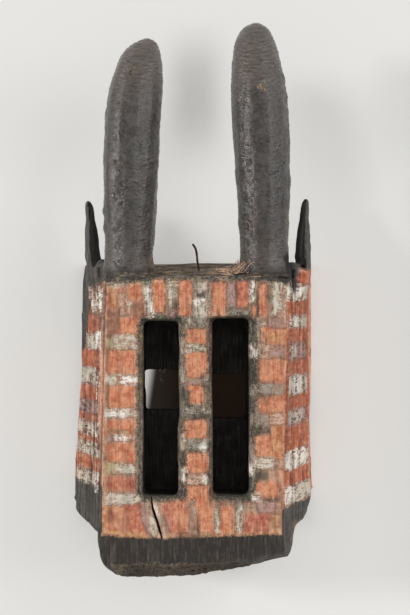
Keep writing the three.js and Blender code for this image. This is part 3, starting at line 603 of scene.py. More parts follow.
# Where the paint ends: along the brow's lip, along the top of the chin and short of the lower corners.
BROW_LINE = [
    (-100, 11), (-87, 13), (-72, 15.5), (-52, 16.5), (-42, 18.5), (-13, 19.5), (55, 18.5), (63, 16.5),
    (75, 14.5), (90, 12.5),
]
CHIN_LINE = [(-100, -229.5), (-88, -230), (-52, -233), (-28, -231.5), (35, -230.5), (89, -228.5), (110, -228)]
brow_y = np.interp(x, *np.array(BROW_LINE).T)
chin_y = np.interp(x, *np.array(CHIN_LINE).T)
left_x = np.interp(-y, [188, 200, 232], [-140, -91.5, -88.5])
right_x = np.interp(-y, [190, 198, 232], [140, 90, 89])
front_reach = np.minimum.reduce([
    brow_y + 2.2 - paint_y, paint_y - chin_y, paint_x - left_x, right_x - paint_x])
left_top = np.interp(z, [0, 50, 70, 110, 150], [-60, -34, 8, 14, 16])
left_top = left_top + 9 * waver(points, (13, 18, 13), 89) * ramp(z, 100, 60)
left_reach = np.minimum(left_top - paint_y, paint_y + 183)
right_top = np.interp(z, [0, 114, 124, 150], [31, 29, 13, 13])
right_reach = np.minimum(right_top - paint_y, paint_y + 203.5)
paint_reach = np.where(on_left_wall, left_reach, np.where(on_right_wall, right_reach, front_reach))
hidden_side = (steady[:, 2] < -0.3) | (inside > 0.3) | ((steady[:, 1] > 0.75) & (z < 88))
paint_reach = np.where(hidden_side | ((z < FACE_FROM) & ~on_wall), OUTSIDE, paint_reach)
channels = (z < 143) & (z > 60) & (np.abs(x - 2) < 58) & (y < -17) & (y > -196) & (inside < 0.5)
eye_reach = np.minimum(paint_reach, z - 137 + 2 * waver(points, 5, 90))
paint_reach = np.where(channels & (steady[:, 2] < 0.5), eye_reach, paint_reach)

# The red itself is yellower where it lies thin over the wood and redder where it lies thick.
WALL_RED = "#c8734c"
WALL_RED_DARK = "#95523a"
RIM_PAINTED_HIGHLIGHT = "#e2aa8c"
red_reach = np.where(on_wall, paint_reach, OUTSIDE)
red_tone = np.tile([*linear(PALE), 1.0, 1.0], (len(points), 1))
lay(RED_BLOCKS, paint_x, paint_y, on_face, red_reach, red_tone)
# A pale strip is painted along the front's left arris as its highlight.
arris_painted_highlight = (on_face | on_left_wall) & (x < -85.5) & (y > -198) & (z > 138)
red_reach = np.where(arris_painted_highlight, 3, red_reach)
red_tone[arris_painted_highlight, :4] = [*linear(PALE), 0.95]
red_reach = np.minimum(red_reach, paint_reach - 1.5 * on_face * (y > -100))
wall_tone = np.tile(linear(WALL_RED), (len(points), 1))
# The walls' red is darker in streaks, and a pale band near the right wall's back rim is painted as a
# highlight.
dark_share = ramp(waver(points, (16, 60, 16), 71) + 0.6 * waver(points, (5, 40, 5), 72), -0.3, 0.8)
for share, code in ((dark_share, WALL_RED_DARK), (on_right_wall * ramp(z, 22, 10), RIM_PAINTED_HIGHLIGHT)):
    wall_tone += share[:, None] * (linear(code) - wall_tone)
red_tone[on_wall & ~arris_painted_highlight, :3] = wall_tone[on_wall & ~arris_painted_highlight]

band_reach = np.full(len(points), OUTSIDE)
band_tone = np.zeros((len(points), 5))
lay(FACE_STROKES, paint_x, paint_y, on_face, band_reach, band_tone)
lay(LEFT_WALL_BANDS, paint_z, paint_y, on_left_wall, band_reach, band_tone)
lay(RIGHT_WALL_BANDS, paint_z, paint_y, on_right_wall, band_reach, band_tone)
red_tone[:, 3] *= 1 - 0.5 * on_wall * ramp(band_reach, -1, 1.5)
sooty_top = ramp(y + 0.5 * (z - 60) + 12 * waver(points, (9, 30, 9), 74), -8, 20) * on_left_wall
red_tone[:, 3] *= 1 - 0.6 * sooty_top

# How sooty the ash between the blocks is, blackest round the eyes, and where soot was smeared last.
EYES = [(-49.4, -14.2, -192.5, -21.5), (18.3, 54.6, -192.5, -19)]
soot = np.clip(0.26 + 0.25 * waver(points, 14, 81) + 0.20 * waver(points, 5, 82) + 0.35 * on_wall, 0, 1)
soot -= 0.15 * on_face * ramp(x, -56, -62)
soot += 0.6 * on_face * ramp(brow_y - paint_y, 2.5, -0.5)
for eye in EYES:
    soot = np.maximum(soot, on_face * ramp(inside_stroke(paint_x, paint_y, *eye), -1.2, -0.3))
soot = np.maximum(soot, 0.9 * sooty_top)
smear = np.zeros(len(points))
for strokes, black, start, full, there in (
        (SOOT_STROKES, soot, -2, 1.5, z > FACE_FROM), (SMEARS, smear, -0.9, 0.5, on_face)):
    for left, right, low, high, cover, *lean in strokes:
        reach = inside_stroke(paint_x, paint_y, left, right, low, high, *lean)
        black[:] = np.maximum(black, cover * ramp(reach, start, full) * there)

# Bare wood: the brow's end grain between the horns, the broken edge of the chin and all of the hollow.
brow_wood = np.minimum.reduce([42 - np.abs(paint_x + 8), paint_y - 20.5, z - 84, 4 - 30 * kept(mask, "horn")])
chin_wood = np.where(y < -238, 6 * (on_break - 0.35), OUTSIDE)
side_wood = np.minimum(x - 100 + 0.1 * (y + 240), 14 - np.abs(y + 238)) + 6 * waver(points, (14, 14, 11), 91)
side_wood = np.where((x > 88) & (y < -205), side_wood, OUTSIDE)
on_lip = (y > 12) & (y < 26) & (z > FACE_FROM)
lip_wood = np.where(on_lip, 2.4 * waver(points, (15, 4, 6), 85) - 1.3, OUTSIDE)
under_wood = np.where(inside > 0.3, 8, 16 * (-0.42 - steady[:, 2]) + 4 * waver(points, (12, 20, 12), 92))
under_wood = np.where((steady[:, 1] > 0.75) & (z < 88), 8, under_wood)
wood_reach = np.maximum.reduce([brow_wood, lip_wood, chin_wood, side_wood, under_wood])
wood_reach = np.where(y > 41, OUTSIDE, wood_reach)

# Where specks of dirt gather: along the blocks' edges and around the eyes.
specked = 0.25 + 0.3 * on_face * ramp(np.abs(x - 4), 15, 12) + 0.45 * ramp(red_reach, 4, 0.5)
specked += 0.35 * waver(points, 12, 83) + 0.25 * waver(points, 5, 84)
edge = np.clip(np.sum((points - spread(points, 6)) * facing, axis=1) / 0.5, -1, 1)

# Painted shade: the ears' hollowed inner faces, the crevices beside the horns' feet and the channels are
# darkened where shade falls, and the chin's broken edge is darker. A crevice is a line seen from above and
# its half width.
PAINTED_SHADE_CREVICES = [
    ([(93, 40), (97, 25), (98.5, 14)], 6.5), ([(99, 14), (99.5, 8)], 3.0), ([(-94, 30), (-93.5, 23)], 2.4),
    ([(-96, 12), (-95, 2)], 1.4), ([(82, 21), (95, 20)], 1.8),
]
ear_and_crevice_painted_shade = (y > 22) & (z < FACE_FROM) & (z > 8) & (np.abs(x) > 80) & (kept(mask, "horn") < 0.1)
ear_and_crevice_painted_shade = ear_and_crevice_painted_shade * np.where(x < 0, ramp(steady[:, 0], -0.1, 0.2), ramp(-steady[:, 0], -0.1, 0.2))
for line, half_width in PAINTED_SHADE_CREVICES:
    gap, _ = distance_to_line(points[:, :2], line)
    crevice_painted_shade = ramp(gap + waver(points, 4, 87), half_width, 0.4 * half_width)
    ear_and_crevice_painted_shade = np.maximum(ear_and_crevice_painted_shade, crevice_painted_shade * (z > 60))
# The channels are darkened towards their depth, as painted shade.
eye_painted_shade = channels * ramp(z, 140, 130) * (0.3 + 0.5 * waver(points, 5, 96))
# The painted shade and the darker broken edge of the chin, in one share that darkens the colour.
painted_shade_and_dark_break = np.maximum.reduce([ear_and_crevice_painted_shade, eye_painted_shade, 0.62 * on_break])

# The horns are paler at their tips and feet, where hands and dust have greyed the crust, and paler along the
# lumpy crest, which is a painted highlight; they are bare in a few nicks, each with its place and radius.
HORN_BARE = [
    (-60, 228, 3.2), (-63, 221, 2.0), (-58, 222, 1.6), (66, 208, 2.6), (71, 205, 2.2), (69, 212, 1.4),
    (84, 148, 1.6), (88, 144, 1.2), (-41, 36, 3.0), (-45, 29, 2.4),
]
pale_tips_and_crest_highlight = kept(mask, "horn") * (0.5 * ramp(y, 170, 245) + 0.22 * ramp(y, 75, 35))
pale_tips_and_crest_highlight += 0.35 * kept(mask, "crest")
for bare_x, bare_y, size in HORN_BARE:
    bare_reach = size - np.hypot(paint_x - bare_x, paint_y - bare_y)
    wood_reach = np.where(z > 110, np.maximum(wood_reach, bare_reach), wood_reach)

for name, values in {
    "paint_reach": paint_reach, "red_reach": red_reach, "red_tone": red_tone[:, :4],
    "band_reach": band_reach, "band_tone": band_tone[:, :4], "level": band_tone[:, 4], "soot": soot,
    "smear": smear, "wood_reach": wood_reach, "edge": edge, "specked": np.clip(specked, 0, 1),
    "painted_shade_and_dark_break": painted_shade_and_dark_break, "pale_tips_and_crest_highlight": pale_tips_and_crest_highlight, "chin": ramp(y, -229, -234) * ~on_wall, "wall": on_wall,
}.items():
    keep(mask, name, np.clip(values, -REACH_KEPT, REACH_KEPT))

# Earth paint on adzed hardwood: matt red, chalk and ash rubbed thin over the grain, and a hard semi-gloss
# crust of soot and oil wherever it is black.
CRUST_BLACK = "#2a2927"
CRUST_WORN_AND_LIT_GREY = "#4c4844"
CRUST_BROWN = "#3b302a"
CRUST_TIP_AND_HIGHLIGHT = "#655a53"
CRUST_DULL = "#c4bab0"
CRUST_STREAK = "#5f584e"
ASH_FILM = "#ab9a82"
ASH_GREEN = "#8a8c7b"
ASH_LILAC = "#a48c8a"
SOOT_FILM = "#3c3b31"
SOOT_SMEAR = "#3b3731"
WOOD_WEATHERED = "#94836e"
WOOD_DARK = "#43362c"
DIRT_AND_SHADE = "#2a201a"
SPECK = "#514035"
RED_DEEP = "#dda89c"
RED_WORN = "#e6a583"
RED_GRAIN = "#bb9079"
CHALK_DUSTY = "#d2bfb0"
EDGE_RUBBED_AND_HIGHLIGHT = "#e0b898"
SHADE_AND_BREAK_BROWN = "#2e2118"
SCRATCH_PALE = "#6b6862"


def connect(tree, node, links):
    """Links a node's inputs to what other nodes put out, or sets them."""
    for socket, value in links.items():
        if isinstance(value, bpy.types.NodeSocket):
            tree.links.new(value, node.inputs[socket])
        else:
            node.inputs[socket].default_value = value


def add_node(tree, kind, settings, links):
    """Adds a node with its settings and links."""
    node = tree.nodes.new(kind)
    for name, value in settings.items():
        setattr(node, name, value)
    connect(tree, node, links)
    return node


def rgba(code):
    """A hex colour as a socket takes it."""
    return (*linear(code), 1.0)


def new_finish(name):
    """Starts a material: its nodes, its surface, and where each spot of a piece is in millimetres."""
    finish = bpy.data.materials.new(name)
    finish.use_nodes = True
    tree = finish.node_tree
    where = add_node(tree, "ShaderNodeTexCoord", {}, {}).outputs["Object"]
    in_mm = add_node(tree, "ShaderNodeVectorMath", {"operation": "SCALE"}, {
        0: where, "Scale": 1 / MM}).outputs[0]
    return finish, tree, tree.nodes["Principled BSDF"], in_mm


def wear(piece, finish):
    """Gives a piece one material in place of what it had."""
    piece.data.materials.clear()
    piece.data.materials.append(finish)


def work_out(tree, value, steps, curve):
    """Works out each named number from its parts, some of which four limits first turn into a slope."""
    for name, *changes in steps:
        for how, part, *limits in changes:
            part = value.get(part, part)
            if limits:
                part = add_node(tree, "ShaderNodeMapRange", {"interpolation_type": curve}, dict(zip(
                    ("Value", "From Min", "From Max", "To Min", "To Max"), (part, *limits)))).outputs[0]
            if how != "=":
                part = add_node(tree, "ShaderNodeMath", {"operation": SIGNS[how]}, {
                    0: value[name], 1: part}).outputs[0]
            value[name] = part


SIGNS = {"+": "ADD", "-": "SUBTRACT", "*": "MULTIPLY", "max": "MAXIMUM", "abs": "ABSOLUTE"}
painted, tree, surface, in_mm = new_finish("earth_paint_on_adzed_wood")
stored = {
    name: add_node(tree, "ShaderNodeAttribute", {"attribute_name": name}, {})
    for name in (
        "paint_reach", "red_reach", "red_tone", "band_reach", "band_tone", "soot", "smear", "wood_reach",
        "edge", "split", "horn", "groove", "scratch", "painted_shade_and_dark_break", "specked", "wall", "level", "brow", "pale_tips_and_crest_highlight",
        "chin")
}
value = {name: node.outputs["Fac"] for name, node in stored.items()}
value["red_cover"] = stored["red_tone"].outputs["Alpha"]
value["band_cover"] = stored["band_tone"].outputs["Alpha"]

# Patterns: the real size in millimetres of what each draws across, along and out of the face, and its
# fineness.
PATTERNS = {
    "grit": (1.5, 1.7, 1.5, 3.0, 0.65), "dabs": (4.6, 5.6, 4.6, 4.0, 0.6),
    "patches": (11, 13, 11, 3.0, 0.55), "stains": (25, 27, 25, 4.0, 0.58),
    "bristles": (1.6, 9.0, 1.6, 3.0, 0.6), "sweeps": (9.0, 1.6, 9.0, 3.0, 0.6),
    "broad_sweeps": (22, 4.4, 22, 4.0, 0.6), "hairs": (1.5, 30, 1.5, 2.0, 0.5),
    "wrinkles": (3.4, 2.0, 3.4, 3.0, 0.55), "streaks": (7, 40, 22, 4.0, 0.65),
    "chin_hairs": (1.7, 22, 60, 4.0, 0.7),
}
for name, (across, along, out, detail, fineness) in PATTERNS.items():
    stretched = add_node(tree, "ShaderNodeMapping", {}, {
        "Vector": in_mm, "Scale": (1 / across, 1 / along, 1 / out)}).outputs[0]
    value[name] = add_node(tree, "ShaderNodeTexNoise", {}, {
        "Vector": stretched, "Scale": 1.0, "Detail": detail, "Roughness": fineness}).outputs[0]

# How much of each coat shows, and how rough it is. A row gives a number's name and what it is made of: =
# takes a part, and +, -, * and max change what is there by a part. For a slope the part's two limits follow,
# and what it becomes at each.
STEPS = [
    # On the walls the grit and the dabs lie along the bands, from back to front, and on the chin the hairs
    # run down its slope.
    ("grit", ("*", "wall", 0, 1, 1, 0)), ("side_grit", ("=", "sweeps"), ("*", "wall")),
    ("grit", ("+", "side_grit")), ("dabs", ("*", "wall", 0, 1, 1, 0)), ("broad_sweeps", ("*", "wall")),
    ("dabs", ("+", "broad_sweeps")), ("hairs", ("*", "chin", 0, 1, 1, 0)), ("chin_hairs", ("*", "chin")),
    ("hairs", ("+", "chin_hairs")),
    # The coats, each with a ragged edge.
    ("worn_edge", ("=", "grit", 0.3, 0.7, -1.1, 1.1), ("+", "dabs", 0.3, 0.7, -0.8, 0.8)),
    ("paint_reach", ("+", "worn_edge")), ("paint", ("=", "paint_reach", -0.8, 0.8, 0, 1)),
    ("red_reach", ("+", "worn_edge")), ("red", ("=", "red_reach", -2.0, 1.0, 0, 1)),
    ("wood_reach", ("+", "worn_edge")), ("wood", ("=", "wood_reach", -0.8, 0.8, 0, 1)),
    # Where the ash is sooty, greenish or lilac.
    ("soot", ("+", "dabs", 0.34, 0.66, 0.26, -0.26), ("+", "grit", 0.32, 0.68, 0.55, -0.55),
        ("=", "soot", 0.1, 0.95, 0, 1)),
    ("green_ash", ("=", "stains", 0.50, 0.62, 0, 0.8)), ("lilac_ash", ("=", "stains", 0.48, 0.37, 0, 0.7)),
    # Where the red is thick, thin, streaked or worn through.
    ("red_gaps", ("=", "grit", 0.40, 0.28, 0, 0.7), ("*", "specked")),
    ("red", ("*", "red_cover"), ("-", "red_gaps")), ("red_thick", ("=", "patches", 0.52, 0.40, 0, 0.65)),
    ("red_grain", ("=", "hairs", 0.49, 0.33, 0, 0.55)), ("red_dabs", ("=", "dabs", 0.50, 0.32, 0, 0.5)),
    ("red_grit", ("=", "grit", 0.48, 0.28, 0, 0.42)), ("red_worn", ("=", "dabs", 0.52, 0.70, 0, 0.6)),
    ("wall_streaks", ("=", "streaks", 0.50, 0.36, 0, 0.8), ("*", "wall")),
    # Specks of dirt over the red, and a thin dark line of it along the bands' and the blocks' edges.
    ("specks", ("=", "grit", 0.45, 0.30, 0, 1), ("*", "specked", 0.2, 1.0, 0, 0.9)),
    ("band_line", ("=", "band_reach"), ("+", "worn_edge"), ("abs", 0),
        ("=", "band_line", 1.3, 0.1, 0, 0.6)),
    ("red_reach", ("abs", 0)),
    ("lines", ("=", "red_reach", 1.3, 0.1, 0, 0.75), ("max", "band_line"),
        ("*", "patches", 0.38, 0.50, 0.1, 1)),
    ("specks", ("max", "lines"), ("*", "paint")),
    # Chalk, thin at its edges and broken by the stick's bristles, which run the way the stroke was drawn.
    ("brushed", ("=", "bristles"), ("*", "level", 0, 1, 1, 0)), ("swept", ("=", "sweeps"), ("*", "level")),
    ("brushed", ("+", "swept")),
    ("chalk", ("=", "band_reach", -2.4, 2.8, -0.75, 0.14), ("+", "band_cover"),
        ("+", "brushed", 0.34, 0.66, -0.34, 0.34), ("+", "dabs", 0.34, 0.66, -0.36, 0.36),
        ("+", "grit", 0.32, 0.68, -0.34, 0.34)),
    ("chalk_streaks", ("=", "streaks", 0.36, 0.50, -0.5, 0.30), ("*", "wall")),
    ("chalk", ("+", "chalk_streaks"), ("=", "chalk", 0.05, 1.05, 0, 1)),
    ("dusty", ("=", "chalk", 1.0, 0.45, 0, 1)), ("chalk", ("*", "band_reach", -3.0, -0.8, 0, 1)),
    ("chalk_lilac", ("=", "stains", 0.50, 0.60, 0, 0.55), ("*", "wall")),
    ("chalk_dark", ("=", "dabs", 0.46, 0.34, 0, 0.75), ("*", "wall")),
    # Smears, rubbed edges and dirt in the hollows; the darkening of hollows, creases, grooves and splits is
    # partly dirt and partly painted shade.
    ("smear", ("*", "grit", 0.3, 0.55, 0.35, 1)),
    # Convex edges of the red are lighter, partly as rubbed wear and partly as a painted highlight.
    ("rubbed", ("=", "edge", 0.25, 0.9, 0, 0.75), ("*", "red"), ("*", "dabs", 0.35, 0.6, 0, 1)),
    ("dirt_and_painted_shade", ("=", "edge", -0.12, -0.7, 0, 0.8), ("max", "split")),
    ("groove", ("*", "patches", 0.3, 0.6, 0.35, 0.95)), ("dirt_and_painted_shade", ("max", "groove")),
    # The crust, lighter where it is rubbed and dusty and, as a painted highlight, on outer edges and along
    # the horns' crest, with fine grain; and the wood.
    ("crust_worn_and_edge_highlight", ("=", "patches", 0.34, 0.66, 0, 0.6), ("+", "grit", 0.34, 0.66, -0.4, 0.4),
        ("+", "dabs", 0.34, 0.66, -0.2, 0.2)),
    ("pale_tips_and_crest_highlight", ("*", "sweeps", 0.40, 0.60, 0.2, 1.8)),
    ("crust_worn_and_edge_highlight", ("+", "pale_tips_and_crest_highlight"), ("+", "edge", 0.12, 0.8, 0, 0.8)),
    ("wall_wear", ("=", "streaks", 0.46, 0.64, -0.3, 1.0), ("*", "wall")),
    ("crust_worn_and_edge_highlight", ("+", "wall_wear"), ("=", "crust_worn_and_edge_highlight", 0, 1.2, 0, 1.2)),
    ("not_horn", ("=", "horn", 0, 1, 1, 0)),
    ("streaked", ("=", "hairs", 0.49, 0.64, 0, 0.85), ("*", "patches", 0.36, 0.60, 0.15, 1),
        ("*", "not_horn")),
    ("grained", ("=", "hairs", 0.50, 0.36, 0, 0.85), ("*", "not_horn")),
    ("crust_brown", ("=", "stains", 0.42, 0.60, 0.15, 1.0)), ("scratched", ("=", "scratch", 0, 1, 0, 0.75)),
    ("wood_pale", ("=", "bristles", 0.36, 0.62, 0, 1), ("*", "brow", 0, 1, 1, 0)),
    ("brow_pale", ("=", "sweeps", 0.36, 0.60, 0, 1), ("*", "brow")), ("wood_pale", ("+", "brow_pale")),
    ("wood_stain", ("=", "stains", 0.42, 0.62, 0, 0.6)),
    # Matt paint and wood, a glossier crust that is smoothest on the horns, and the fine relief.
    ("matt", ("=", "paint"), ("max", "wood"), ("max", "painted_shade_and_dark_break")), ("not_matt", ("=", "matt", 0, 1, 1, 0)),
    ("rough", ("=", "horn", 0, 1, 0.58, 0.25), ("+", "patches", 0.3, 0.7, -0.09, 0.18),
        ("+", "dabs", 0.3, 0.7, -0.10, 0.14), ("*", "not_matt"), ("+", "matt", 0, 1, 0, 0.87)),
    ("relief", ("=", "wrinkles", 0, 1, 0, 1.9), ("*", "not_matt")),
    ("grain", ("=", "bristles"), ("*", "matt")),
    ("relief", ("+", "grain"), ("+", "grit", 0, 1, 0, 0.5), ("+", "chalk", 0, 1, 0, 0.8)),
]
work_out(tree, value, STEPS, "LINEAR")

# The coats of colour from the wood outwards: how much of each shows and its colour, which covers what is
# below it or, where the row says so, darkens it.
coats = {}
for coat, layers in {
    "crust": [
        (None, CRUST_BLACK), ("crust_brown", CRUST_BROWN), ("crust_worn_and_edge_highlight", CRUST_WORN_AND_LIT_GREY), ("pale_tips_and_crest_highlight", CRUST_TIP_AND_HIGHLIGHT),
        ("scratched", SCRATCH_PALE), ("not_horn", CRUST_DULL, "MULTIPLY"), ("streaked", CRUST_STREAK),
        ("grained", DIRT_AND_SHADE),
    ],
    "bare wood": [
        (None, WOOD_DARK), ("wood_pale", WOOD_WEATHERED), ("wood_stain", WOOD_DARK),
    ],
    "red": [
        (None, "red_tone"), ("red_thick", RED_DEEP, "MULTIPLY"), ("red_dabs", RED_GRAIN, "MULTIPLY"),
        ("red_grain", RED_GRAIN, "MULTIPLY"), ("red_grit", RED_GRAIN, "MULTIPLY"), ("red_worn", RED_WORN),
        ("wall_streaks", RED_GRAIN, "MULTIPLY"),
    ],
    "chalk": [
        (None, "band_tone"), ("dusty", CHALK_DUSTY, "MULTIPLY"), ("chalk_lilac", ASH_LILAC),
        ("chalk_dark", SPECK),
    ],
    "ash": [
        (None, ASH_FILM), ("green_ash", ASH_GREEN), ("lilac_ash", ASH_LILAC), ("soot", SOOT_FILM),
    ],
    "all": [
        (None, "crust"), ("wood", "bare wood"), ("paint", "ash"), ("red", "red"), ("specks", SPECK),
        ("chalk", "chalk"), ("smear", SOOT_SMEAR), ("rubbed", EDGE_RUBBED_AND_HIGHLIGHT), ("dirt_and_painted_shade", DIRT_AND_SHADE),
        ("painted_shade_and_dark_break", SHADE_AND_BREAK_BROWN, "MULTIPLY"),
    ],
}.items():
    for share, over, *blend in layers:
        over = coats.get(over) or (rgba(over) if over.startswith("#") else stored[over].outputs["Color"])
        if share:
            settings = {"data_type": "RGBA", "blend_type": blend[0] if blend else "MIX"}
            over = add_node(tree, "ShaderNodeMix", settings, {
                0: value[share], 6: coats[coat], 7: over}).outputs[2]
        coats[coat] = over
bump = add_node(tree, "ShaderNodeBump", {}, {
    "Height": value["relief"], "Distance": 0.5 * MM, "Strength": 0.9}).outputs[0]
connect(tree, surface, {"Base Color": coats["all"], "Roughness": value["rough"], "Normal": bump})
wear(mask, painted)
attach(mask, "root")
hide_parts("mask")

# The wire: a short bent iron wire pushed into the end grain of the brow. It was never painted, so it is
# brown-black with a thin uneven crust of rust.
RUST_DARK = "#2a201b"
RUST_BROWN = "#4d3527"
RUST_SCALE = 0.8  # millimetres across a flake
RUST_DEPTH = 0.32  # millimetres of rust that have grown on the wire
rusty, tree, surface, in_mm = new_finish("rusted_iron_wire")
scale = add_node(tree, "ShaderNodeTexNoise", {}, {
    "Vector": in_mm, "Scale": 1 / RUST_SCALE, "Detail": 3.0}).outputs[0]
tone = add_node(tree, "ShaderNodeMix", {"data_type": "RGBA"}, {
    0: scale, 6: rgba(RUST_DARK), 7: rgba(RUST_BROWN)}).outputs[2]
bump = add_node(tree, "ShaderNodeBump", {}, {
    "Height": scale, "Distance": 0.2 * MM, "Strength": 0.8}).outputs[0]
connect(tree, surface, {"Base Color": tone, "Metallic": 0.3, "Roughness": 0.7, "Normal": bump})
wire = put_in("bent_wire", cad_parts["wire"].data.copy())
finish_with(wire, "WELD", merge_threshold=SAME_PLACE)
wire_points = places(wire)
rust_crust = RUST_DEPTH * (1 + 0.6 * waver(wire_points, 1.7, 93))
move_to(wire, wire_points + facings(wire) * rust_crust[:, None])
wear(wire, rusty)
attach(wire, "root")
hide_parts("wire")

# The straw: dry grass blown against the right horn's foot and along the brow's lip, and a wisp of plant
# fibre that hangs in the left eye hole. Every blade is a thin round tube that lies on the wood.
STRAW_PALE = "#dfc0a3"
STRAW_BROWN = "#8a6750"
STRAW_MOTTLE = 2.5  # millimetres between its pale and brown spots
STRAW_SEED = 5
STRAW_BLADES = 120
STRAW_MIDDLE = (36.5, 31.5, 146)
STRAW_SPREAD = (4.6, 2.6, 11)
STRAW_JOINTS = 6  # places that each blade runs through
STRAW_THICK = 0.24  # half the thickness of a blade
FIBRE_THICK = 0.36
LIP_BLADES = [
    [(56, 26, 170), (61, 26.4, 170), (65, 25.4, 170)], [(60, 24.5, 170), (64, 25.6, 170), (66, 27, 170)],
    [(12, 27, 150), (24, 25.5, 155), (36, 26, 155)], [(-30, 28, 140), (-21, 30, 135), (-12, 29.4, 138)],
    [(88, 20, 160), (92, 17, 152), (95, 12, 146)],
]
EYE_BLADES = [
    [(-28.6, -70, 92.4), (-30.4, -74, 92), (-34.4, -78.2, 91.6), (-31.2, -83, 92)],
    [(-34.4, -78.2, 91.6), (-32.6, -79.6, 91), (-30.2, -80, 92)],
    [(-33, -70.2, 92), (-34.8, -73, 91), (-34, -76, 91)],
]


def lies_on_wood(spot, height):
    """The place nearest to a spot that lies the given height above the carved block's surface."""
    _, nearest, outwards, _ = mask.closest_point_on_mesh([c * MM for c in spot])
    return [(c / MM + height * o) for c, o in zip(nearest, outwards)]


draw = random.Random(STRAW_SEED)
clump = []
for _ in range(STRAW_BLADES):
    spot = [draw.gauss(middle, spread) for middle, spread in zip(STRAW_MIDDLE, STRAW_SPREAD)]
    heading = draw.uniform(0, 2 * math.pi)
    height = draw.uniform(0.3, 2.6)
    blade = []
    for _ in range(STRAW_JOINTS):
        blade.append(lies_on_wood(spot, height))
        step = draw.uniform(0.9, 2.8)
        spot = [spot[0] + step * math.cos(heading), spot[1] + draw.gauss(0, 1.1),
                spot[2] + step * math.sin(heading)]
        heading += draw.gauss(0, 0.55)
    clump.append(blade)
clump += [[lies_on_wood(spot, 0.5) for spot in blade] for blade in LIP_BLADES]

dry, tree, surface, in_mm = new_finish("dry_straw")
shade = add_node(tree, "ShaderNodeTexNoise", {}, {
    "Vector": in_mm, "Scale": 1 / STRAW_MOTTLE, "Detail": 2.0}).outputs[0]
shade = add_node(tree, "ShaderNodeMapRange", {}, {
    "Value": shade, "From Min": 0.36, "From Max": 0.6}).outputs[0]
tone = add_node(tree, "ShaderNodeMix", {"data_type": "RGBA"}, {
    0: shade, 6: rgba(STRAW_BROWN), 7: rgba(STRAW_PALE)}).outputs[2]
connect(tree, surface, {"Base Color": tone, "Roughness": 0.6})
for name, blades, thickness in (
        ("straw_on_brow", clump, STRAW_THICK), ("fibre_in_eye", EYE_BLADES, FIBRE_THICK)):
    line = bpy.data.curves.new(name, "CURVE")
    line.dimensions = "3D"
    line.bevel_depth = thickness * MM
    line.bevel_resolution = 1
    line.resolution_u = 3
    line.use_fill_caps = True
    for blade in blades:
        spline = line.splines.new("BEZIER")
        spline.bezier_points.add(len(blade) - 1)
        for point, spot in zip(spline.bezier_points, blade):
            point.co = [c * MM for c in spot]
            point.handle_left_type = point.handle_right_type = "AUTO"
    pick(put_in(name, line))
    bpy.ops.object.convert(target="MESH")
    piece = bpy.context.object
    wear(piece, dry)
    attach(piece, "root")

# The floor, the light and the camera: a pale floor that gives off a painted glow and carries painted shade,
# two large soft lights from the left and the right, and a camera straight above that sees the mask from the
# front.
FLOOR = "#c4c3c0"
FLOOR_PAINTED_SHADE = "#b08a70"
PAINTED_GLOW_TINT = "#fffefa"
FLOOR_PAINTED_GLOW = 0.24  # painted glow that the whole floor gives off, though it is no lamp
NEAR_PAINTED_GLOW = 0.07  # more painted glow in a wide ring round the mask, lightening its shadows
HORN_PAINTED_SHADOW = 0.20  # painted shadow: the glow taken away from the floor between the horns
ROOM_LIGHT = 0.52
CAMERA_PLACE = (0.0114, -0.00865, 2.4)  # metres; its height follows from how much of the walls shows
CAMERA_LENS = 134.4
FLOOR_SIZE = 40  # metres, so that no edge of it shows from a low view
FLOOR_TOP = -0.0005  # metres, a hair under the rim
bpy.ops.object.select_all(action="DESELECT")
bpy.ops.mesh.primitive_plane_add(size=FLOOR_SIZE, location=(0, 0, FLOOR_TOP))
floor = bpy.context.object
floor.name = "floor"
plaster, tree, surface, in_mm = new_finish("pale_floor_with_painted_glow")
across, along, _ = add_node(tree, "ShaderNodeSeparateXYZ", {}, {0: in_mm}).outputs
value = {"x": across, "y": along}
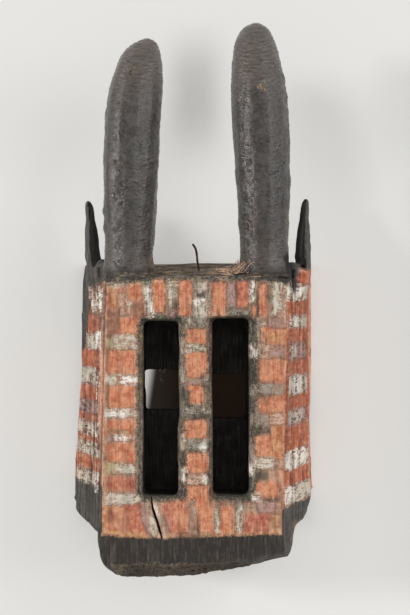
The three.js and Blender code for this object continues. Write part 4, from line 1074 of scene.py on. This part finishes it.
# Painted light and shade on the floor: a glow that spreads over the floor round the mask, painted shade under
# it, a painted shadow between its horns, and a little painted light that stands for light creeping in under
# its left side and shows through the left eye.
FLOOR_STEPS = [
    ("gap_x", ("=", "x"), ("-", 2), ("abs", 0), ("-", 104)),
    ("gap_y", ("=", "y"), ("+", 100), ("abs", 0), ("-", 115)), ("gap", ("=", "gap_x"), ("max", "gap_y")),
    ("open", ("=", "gap", -6, 14, 0, 1)),
    ("painted_glow", ("=", "gap", 0, 30, 0, NEAR_PAINTED_GLOW), ("-", "gap", 60, 190, 0, NEAR_PAINTED_GLOW), ("+", FLOOR_PAINTED_GLOW),
        ("*", "open")),
    # A painted shadow between the horns: less glow on the floor there.
    ("between", ("=", "gap_x", -60, -100, 0, HORN_PAINTED_SHADOW), ("*", "y", 120, 210, 0, 1),
        ("*", "y", 300, 230, 0, 1)),
    ("painted_glow", ("-", "between")),
    # A strip of painted light under the left side, standing for light that leaks in and shows through the
    # left eye.
    ("painted_light_leak", ("=", "y"), ("*", -0.155), ("+", "x"), ("=", "painted_light_leak", -27, -38, 0, 0.5),
        ("+", "x", -10, -40, 0.001, 0.010), ("*", "gap", -30, -45, 0, 1)),
    ("painted_glow", ("+", "painted_light_leak")),
]
work_out(tree, value, FLOOR_STEPS, "SMOOTHSTEP")
# The floor's colour is darker and browner under the mask, as painted shade.
tone = add_node(tree, "ShaderNodeMix", {"data_type": "RGBA"}, {
    0: value["open"], 6: rgba(FLOOR_PAINTED_SHADE), 7: rgba(FLOOR)}).outputs[2]
connect(tree, surface, {
    "Base Color": tone, "Roughness": 0.9, "Emission Color": rgba(PAINTED_GLOW_TINT),
    "Emission Strength": value["painted_glow"]})
wear(floor, plaster)


def soft_light(name, from_axis, turn, spread_angle, strength):
    """A far soft light: its angle from straight above and round from the right, and its width in degrees."""
    lamp = bpy.data.lights.new(name, "SUN")
    lamp.angle = math.radians(spread_angle)
    lamp.energy = strength
    put_in(name, lamp).rotation_euler = (0, math.radians(from_axis), math.radians(turn))


soft_light("left_light", 60, 170, 12, 1.55)
soft_light("right_light", 53, 24, 46, 1.30)
world = bpy.data.worlds.new("room")
world.use_nodes = True
air = world.node_tree.nodes["Background"]
connect(world.node_tree, air, {"Color": rgba("#ffffff"), "Strength": ROOM_LIGHT})
bpy.context.scene.world = world
bpy.context.scene.view_settings.view_transform = "Standard"

camera = bpy.data.cameras.new("camera")
camera.lens = CAMERA_LENS
camera.sensor_width = 36
camera.clip_start = 0.1
camera.clip_end = 20
viewer = put_in("camera", camera)
viewer.location = CAMERA_PLACE
bpy.context.scene.camera = viewer
